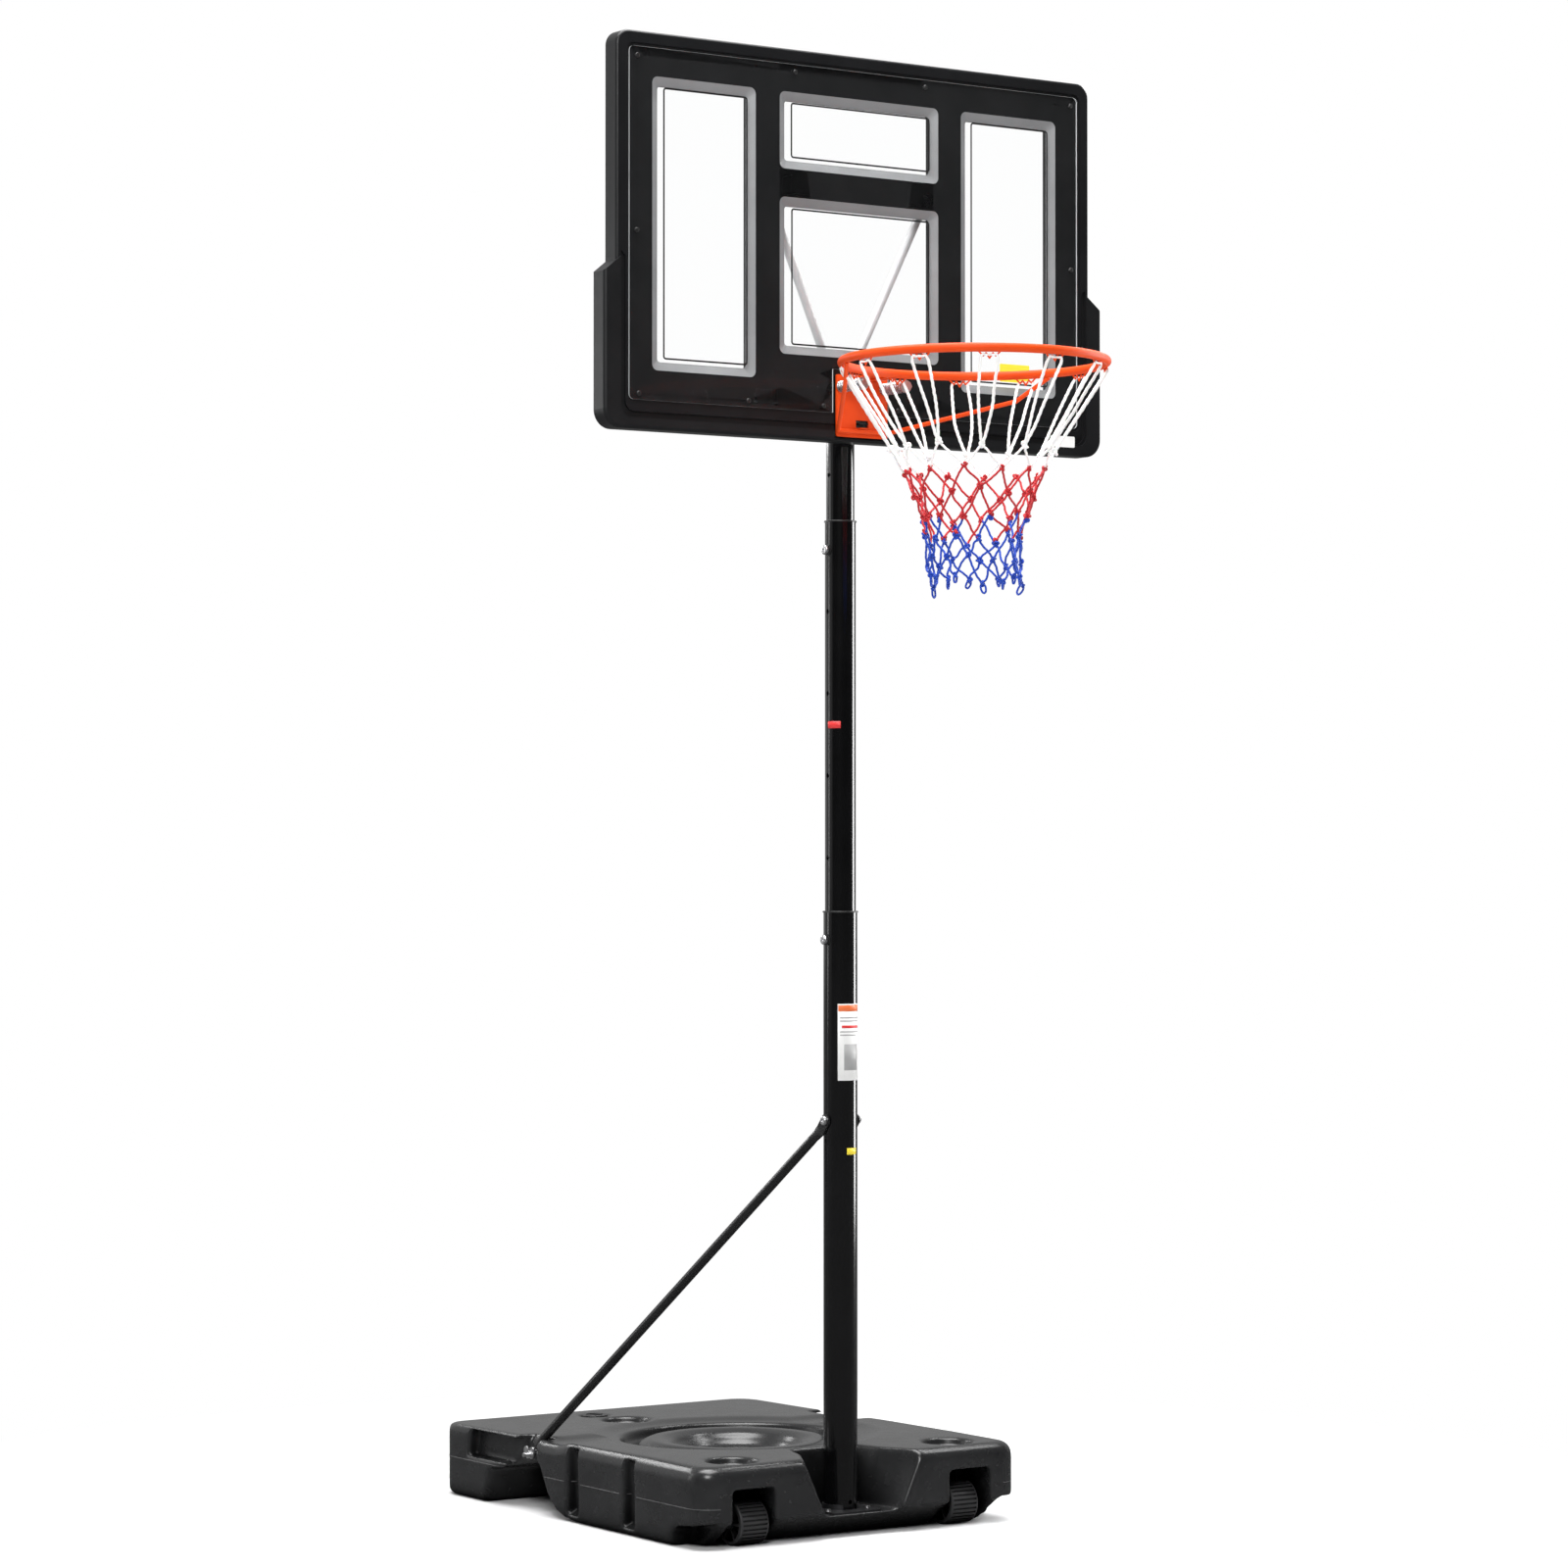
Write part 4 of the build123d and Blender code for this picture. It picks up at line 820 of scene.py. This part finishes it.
def mesh_cords():
    """The diamond mesh: two cords down from every knot."""
    for level, colours in enumerate(CORD_COLOURS):
        radius, sway = (CORD, 0.0035) if level else (TOP_CORD, 0.0018)
        for k in range(HOOK_COUNT):
            first = k - 1 + level % 2
            for colour, target in zip(colours, (first, first + 1)):
                cord(colour, knot_at(level, k), knot_at(level + 1, target), radius, sway)


def mesh_knots():
    for level, colour in KNOT_COLOURS.items():
        for k in range(HOOK_COUNT):
            place = knot_at(level, k)
            knot(colour, place, 0.0058 + vary(0.0006))
            # second knots in the other colour where red meets blue
            if level == 3 and k % 2 == 0:
                knot("blue", place + Vector((0, 0, -0.007)), 0.0048)
            if level == 4 and k % 2:
                knot("red", place + Vector((0, 0, 0.006)), 0.0045)


def bottom_eye(k):
    """Two cords meet at the bottom of the net, then a small hanging eye."""
    place = on_net(SPACING * k + SPACING + vary(6.0), BOTTOM_Z + vary(0.013), vary(0.006))
    for neighbour in (k, k + 1):
        cord("blue", knot_at(5, neighbour), place, CORD, sway=0.005, sag=0.003)
    knot("blue", place, 0.0048)
    out, side = net_axes(place)
    turn = vary(1.2)
    across = side * math.cos(turn) + out * math.sin(turn)
    tip = Vector((0, 0, -1)) + across * vary(0.5)
    tip.normalize()
    size = 0.0050 + abs(vary(0.0032))
    eye = []
    for i in range(26):
        t = 2 * math.pi * i / 26
        eye.append(place + tip * (size * 1.25 * (1 - math.cos(t)))
                   + across * (size * 0.75 * math.sin(t)))
    cords["blue"].add(eye, CORD * 0.95, **CLOSED_CORD)


def net():
    for k in range(HOOK_COUNT):
        hook_loop(k)
    mesh_cords()
    mesh_knots()
    for k in range(HOOK_COUNT):
        bottom_eye(k)
    for colour, tubes in cords.items():
        name = "net_cords_" + colour
        obj = add_object(name, tubes.mesh(name))
        dress(obj, "rim", "cord_" + colour)
    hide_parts("net")


net()


# ------------------------------------------------------------------ springs
WIRE_RADIUS, COIL_RADIUS = 0.0014, 0.0099
COIL_TURNS, END_TURNS, STEPS_PER_TURN = 12, 1.0, 36
END_RISE = 2.1 * WIRE_RADIUS                    # length taken by each closed end coil


def spring(name, piece):
    """A coil along Y with closed end coils."""
    low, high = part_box(piece)
    centre_x, centre_z = (low.x + high.x) / 2, (low.z + high.z) / 2
    length = (high.y - low.y) - 2 * WIRE_RADIUS
    steps = COIL_TURNS * STEPS_PER_TURN
    path = []
    for i in range(steps + 1):
        turn = COIL_TURNS * i / steps
        if turn < END_TURNS:
            travel = turn / END_TURNS * END_RISE
        elif turn > COIL_TURNS - END_TURNS:
            travel = length - (COIL_TURNS - turn) / END_TURNS * END_RISE
        else:
            share = (turn - END_TURNS) / (COIL_TURNS - 2 * END_TURNS)
            travel = END_RISE + share * (length - 2 * END_RISE)
        angle = 2 * math.pi * turn
        path.append(Vector((centre_x + COIL_RADIUS * math.cos(angle),
                            high.y - WIRE_RADIUS - travel,
                            centre_z + COIL_RADIUS * math.sin(angle))))
    coil = Tubes()
    coil.add(path, WIRE_RADIUS, sides=10)
    obj = dress(add_object(name, coil.mesh(name)), "head", "spring_steel")
    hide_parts(piece)
    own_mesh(obj)


spring("spring_coil_left", "rim_spring_left")
spring("spring_coil_right", "rim_spring_right")


# ------------------------------------------------------------------ printed lines on the sheet
SHEET_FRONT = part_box("clear_sheet")[0].y
GUARD_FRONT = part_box("edge_guard")[0].y
LINE_RADIUS, LINE_WIDTH, LINE_THICKNESS = 0.006, 0.0031, 0.0003

# name, then outer edges: x from, x to, z from, z to
PRINTED_LINES = [
    ("line_side_left", -0.434, -0.252, 2.145, 2.635),
    ("line_side_right", 0.252, 0.434, 2.145, 2.635),
    ("line_top", -0.157, 0.157, 2.532, 2.634),
    ("line_target", -0.156, 0.156, 2.189, 2.440),
]


def rounded_outline(x0, x1, z0, z1, radius, steps):
    """(x, z) points round a rectangle with rounded corners."""
    corners = ((x1 - radius, z1 - radius, 0), (x0 + radius, z1 - radius, 90),
               (x0 + radius, z0 + radius, 180), (x1 - radius, z0 + radius, 270))
    points = []
    for x, z, start in corners:
        for i in range(steps + 1):
            angle = math.radians(start + 90 * i / steps)
            points.append((x + radius * math.cos(angle), z + radius * math.sin(angle)))
    return points


def printed_line(name, x0, x1, z0, z1):
    """A rounded-rectangle outline as a thin raised band on the sheet's front."""
    back = SHEET_FRONT - 0.0001
    outer = rounded_outline(x0, x1, z0, z1, LINE_RADIUS, steps=8)
    inner = rounded_outline(x0 + LINE_WIDTH, x1 - LINE_WIDTH, z0 + LINE_WIDTH, z1 - LINE_WIDTH,
                            LINE_RADIUS - LINE_WIDTH, steps=8)
    n = len(outer)
    verts = [(x, y, z) for y in (back, back - LINE_THICKNESS)
             for ring in (outer, inner) for x, z in ring]
    faces = []
    for i in range(n):
        j = (i + 1) % n
        faces.append((2 * n + i, 3 * n + i, 3 * n + j, 2 * n + j))
        faces.append((i, j, n + j, n + i))
        faces.append((i, 2 * n + i, 2 * n + j, j))
        faces.append((n + i, n + j, 3 * n + j, 3 * n + i))
    obj = add_object(name, make_mesh(name, verts, faces))
    dress(obj, "head", "printed_line", smooth=False)


for line in PRINTED_LINES:
    printed_line(*line)


# ------------------------------------------------------------------ blank labels
LOWER_RADIUS, MIDDLE_RADIUS = 0.0315, 0.02875   # outside of the pole's tubes
LABEL_GAP, LABEL_OUTSIDE = 0.00001, 0.00005     # a label's two faces above its tube
ON_PANEL = LOWER_RADIUS + 0.00004               # seat of the strips that lie on the panel
PANEL_TOP = 0.979

# name, seat radius, z from, z to, degrees from, degrees to (0 faces -Y), colour, body
POLE_LABELS = [
    ("label_panel", LOWER_RADIUS, 0.837, PANEL_TOP, -44, 62, "white", "base"),
    ("label_header", ON_PANEL, PANEL_TOP - 0.014, PANEL_TOP - 0.002, -42, 60, "orange", "base"),
    ("label_rule_0", ON_PANEL, 0.952, 0.9545, -36, 52, "grey", "base"),
    ("label_rule_1", ON_PANEL, 0.946, 0.9485, -36, 44, "grey", "base"),
    ("label_rule_2", ON_PANEL, 0.934, 0.939, -30, 50, "red", "base"),
    ("label_rule_3", ON_PANEL, 0.926, 0.9285, -36, 52, "grey", "base"),
    ("label_rule_4", ON_PANEL, 0.920, 0.9225, -36, 30, "grey", "base"),
    ("label_rule_5", ON_PANEL, 0.856, 0.904, -22, 40, "grey", "base"),
    ("label_yellow", LOWER_RADIUS, 0.700, 0.712, -12, 30, "yellow", "base"),
    ("label_red", MIDDLE_RADIUS, 1.490, 1.503, -88, -33, "red", "middle_pole"),
]

# name, x from, x to, z from, z to, back y, colour
FLAT_LABELS = [
    ("label_sheet", 0.320, 0.390, 2.150, 2.184, SHEET_FRONT - 0.0004, "yellow"),
    ("label_guard", 0.437, 0.495, 2.033, 2.054, GUARD_FRONT - 0.00015, "white"),
]


def pole_label(name, seat, z0, z1, start, end, colour, body):
    """A thin curved sticker on a tube."""
    n = 16
    row = n + 1
    verts = []
    for radius in (seat + LABEL_GAP, seat + LABEL_OUTSIDE):
        for z in (z0, z1):
            for i in range(row):
                angle = math.radians(start + (end - start) * i / n)
                verts.append((radius * math.sin(angle), -radius * math.cos(angle), z))
    faces = []
    for i in range(n):
        faces.append((2 * row + i, 2 * row + i + 1, 3 * row + i + 1, 3 * row + i))
        faces.append((i, row + i, row + i + 1, i + 1))
        faces.append((i, i + 1, 2 * row + i + 1, 2 * row + i))
        faces.append((row + i, 3 * row + i, 3 * row + i + 1, row + i + 1))
    faces.append((0, 2 * row, 3 * row, row))
    faces.append((n, row + n, 3 * row + n, 2 * row + n))
    obj = add_object(name, make_mesh(name, verts, faces))
    dress(obj, body, "label_" + colour)


def flat_label(name, x0, x1, z0, z1, back, colour):
    """A sticker with rounded corners on a face that looks along -Y."""
    ring = rounded_outline(x0, x1, z0, z1, radius=0.0025, steps=5)
    n = len(ring)
    verts = [(x, y, z) for y in (back - 0.00025, back) for x, z in ring]
    faces = [tuple(reversed(range(n))), tuple(range(n, 2 * n))]
    for i in range(n):
        j = (i + 1) % n
        faces.append((i, j, n + j, n + i))
    obj = add_object(name, make_mesh(name, verts, faces))
    dress(obj, "head", "label_" + colour, smooth=False)


for entry in POLE_LABELS:
    pole_label(*entry)
for entry in FLAT_LABELS:
    flat_label(*entry)


# ------------------------------------------------------------------ studio
FLOOR_HALF = 40
VIEW_AHEAD = (0.559, 0.829, 0.0)                # level direction the camera looks in
VIEW_LEFT = (-0.829, 0.559, 0.0)


def camera():
    data = bpy.data.cameras.new("camera")
    data.sensor_width = 36.0
    data.lens = 102.73
    data.clip_end = 100
    obj = add_object("camera", data)
    obj.location = (-4.74255, -6.84102, 1.25179)
    obj.rotation_euler = (math.radians(90.93), 0, math.radians(-34.01))
    scene.camera = obj


def floor_material():
    """Pale floor round the product that fades to pure white, and is dim in reflections."""
    tree, bsdf = new_material("floor_pale")
    feed(bsdf, {
        "Base Color": (0.92, 0.92, 0.925, 1),
        "Roughness": 0.55,
        "Specular IOR Level": 0.25,
    })
    glow = add_node(tree, "ShaderNodeEmission", {"Color": (1, 1, 1, 1), "Strength": 1.0})
    shift = {"Location": (0.0, -0.35, 0.0), "Vector": object_coord(tree)}
    centred = add_node(tree, "ShaderNodeMapping", shift).outputs["Vector"]
    distance = add_node(tree, "ShaderNodeVectorMath", {0: centred}, operation="LENGTH")
    fade = remap(tree, distance.outputs["Value"], source=(0.75, 1.9), curve="SMOOTHSTEP")
    seen = mix_shaders(tree, fade, bsdf.outputs[0], glow.outputs[0])
    dim = add_node(tree, "ShaderNodeEmission", {"Color": (0.15, 0.15, 0.15, 1)})
    is_glossy = add_node(tree, "ShaderNodeLightPath").outputs["Is Glossy Ray"]
    surface = mix_shaders(tree, is_glossy, seen, dim.outputs[0])
    feed(tree.nodes["Material Output"], {"Surface": surface})


def floor():
    s = FLOOR_HALF
    corners = [(-s, -s, 0), (s, -s, 0), (s, s, 0), (-s, s, 0)]
    obj = add_object("floor", make_mesh("floor", corners, [(0, 1, 2, 3)]))
    floor_material()
    obj.data.materials.append(materials["floor_pale"])


def along(tree, direction):
    """How far the world direction points along the given one."""
    generated = add_node(tree, "ShaderNodeTexCoord").outputs["Generated"]
    inputs = {0: generated, 1: direction}
    made = add_node(tree, "ShaderNodeVectorMath", inputs, operation="DOT_PRODUCT")
    return made.outputs["Value"]


def studio_world():
    """White to the camera; a dim gradient and a wide side panel to everything else."""
    world = bpy.data.worlds.new("studio")
    scene.world = world
    world.use_nodes = True
    tree = world.node_tree
    tree.nodes.clear()
    white = add_node(tree, "ShaderNodeBackground", {"Color": (1, 1, 1, 1), "Strength": 1.0})
    # brightest ahead of the camera and above
    height = remap(tree, along(tree, (*VIEW_AHEAD[:2], 0.35)), source=(-1.0, 1.0))
    gradient = ramp(tree, height, [
        (0.0, grey(0.02)), (0.45, grey(0.025)), (0.70, grey(0.13)), (1.0, grey(0.42)),
    ])
    # a wide dim panel on the camera's left
    leftward = remap(tree, along(tree, VIEW_LEFT), source=(0.42, 0.58), curve="SMOOTHSTEP")
    forward = remap(tree, along(tree, VIEW_AHEAD), source=(-0.52, -0.36), curve="SMOOTHSTEP")
    panel = calculate(tree, "MULTIPLY", leftward, forward)
    panel_light = calculate(tree, "MULTIPLY", panel, 0.34)
    total = add_node(tree, "ShaderNodeVectorMath", {0: gradient, 1: panel_light}, operation="ADD")
    ambient = add_node(tree, "ShaderNodeBackground", {
        "Color": total.outputs["Vector"],
        "Strength": 1.0,
    })
    is_camera = add_node(tree, "ShaderNodeLightPath").outputs["Is Camera Ray"]
    surface = mix_shaders(tree, is_camera, ambient.outputs[0], white.outputs[0])
    add_node(tree, "ShaderNodeOutputWorld", {"Surface": surface})


def area_light(name, place, target, width, height, energy):
    data = bpy.data.lights.new(name, "AREA")
    data.shape = "RECTANGLE"
    data.size = width
    data.size_y = height
    data.energy = energy
    obj = add_object(name, data)
    obj.location = place
    aim = Vector(target) - Vector(place)
    obj.rotation_euler = aim.to_track_quat("-Z", "Y").to_euler()
    obj.visible_camera = False
    return obj


def keep_off_flat_faces(light):
    """At a grazing angle a light meant for the round tubes would burn out the flat faces."""
    flat_pieces = ("tank_shell", "tank_parting_line", "board_frame", "edge_guard", "fill_cap",
                   "clear_sheet")
    excluded = bpy.data.collections.new("away_from_strip")
    for obj in scene.objects:
        if obj.type == "MESH" and obj.name.split(".")[0] in flat_pieces:
            excluded.objects.link(obj)
    for member in excluded.collection_objects:
        member.light_linking.link_state = "EXCLUDE"
    light.light_linking.receiver_collection = excluded


def lights():
    area_light("strip_left", place=(-4.1, 3.2, 2.4), target=(0, 0, 1.9),
               width=0.5, height=3.6, energy=26)
    strip = area_light("strip_right", place=(4.53, -0.78, 2.3), target=(0, 0, 1.9),
                       width=1.4, height=4.2, energy=230)
    keep_off_flat_faces(strip)
    area_light("gleam_front", place=(2.5, 0.45, 3.6), target=(0, 0, 0.12),
               width=2.6, height=0.30, energy=34)
    area_light("gleam_side", place=(-0.9, 3.7, 2.5), target=(-0.3, 0.3, 0.12),
               width=2.4, height=0.26, energy=26)
    area_light("key", place=(-3.8, -4.2, 4.6), target=(0, -0.2, 2.0),
               width=2.0, height=2.0, energy=240)
    area_light("top", place=(-0.3, 0.1, 5.4), target=(0, 0.2, 0.0),
               width=3.6, height=3.6, energy=410)


camera()
floor()
studio_world()
lights()
scene.view_settings.view_transform = "Standard"
scene.view_settings.look = "None"
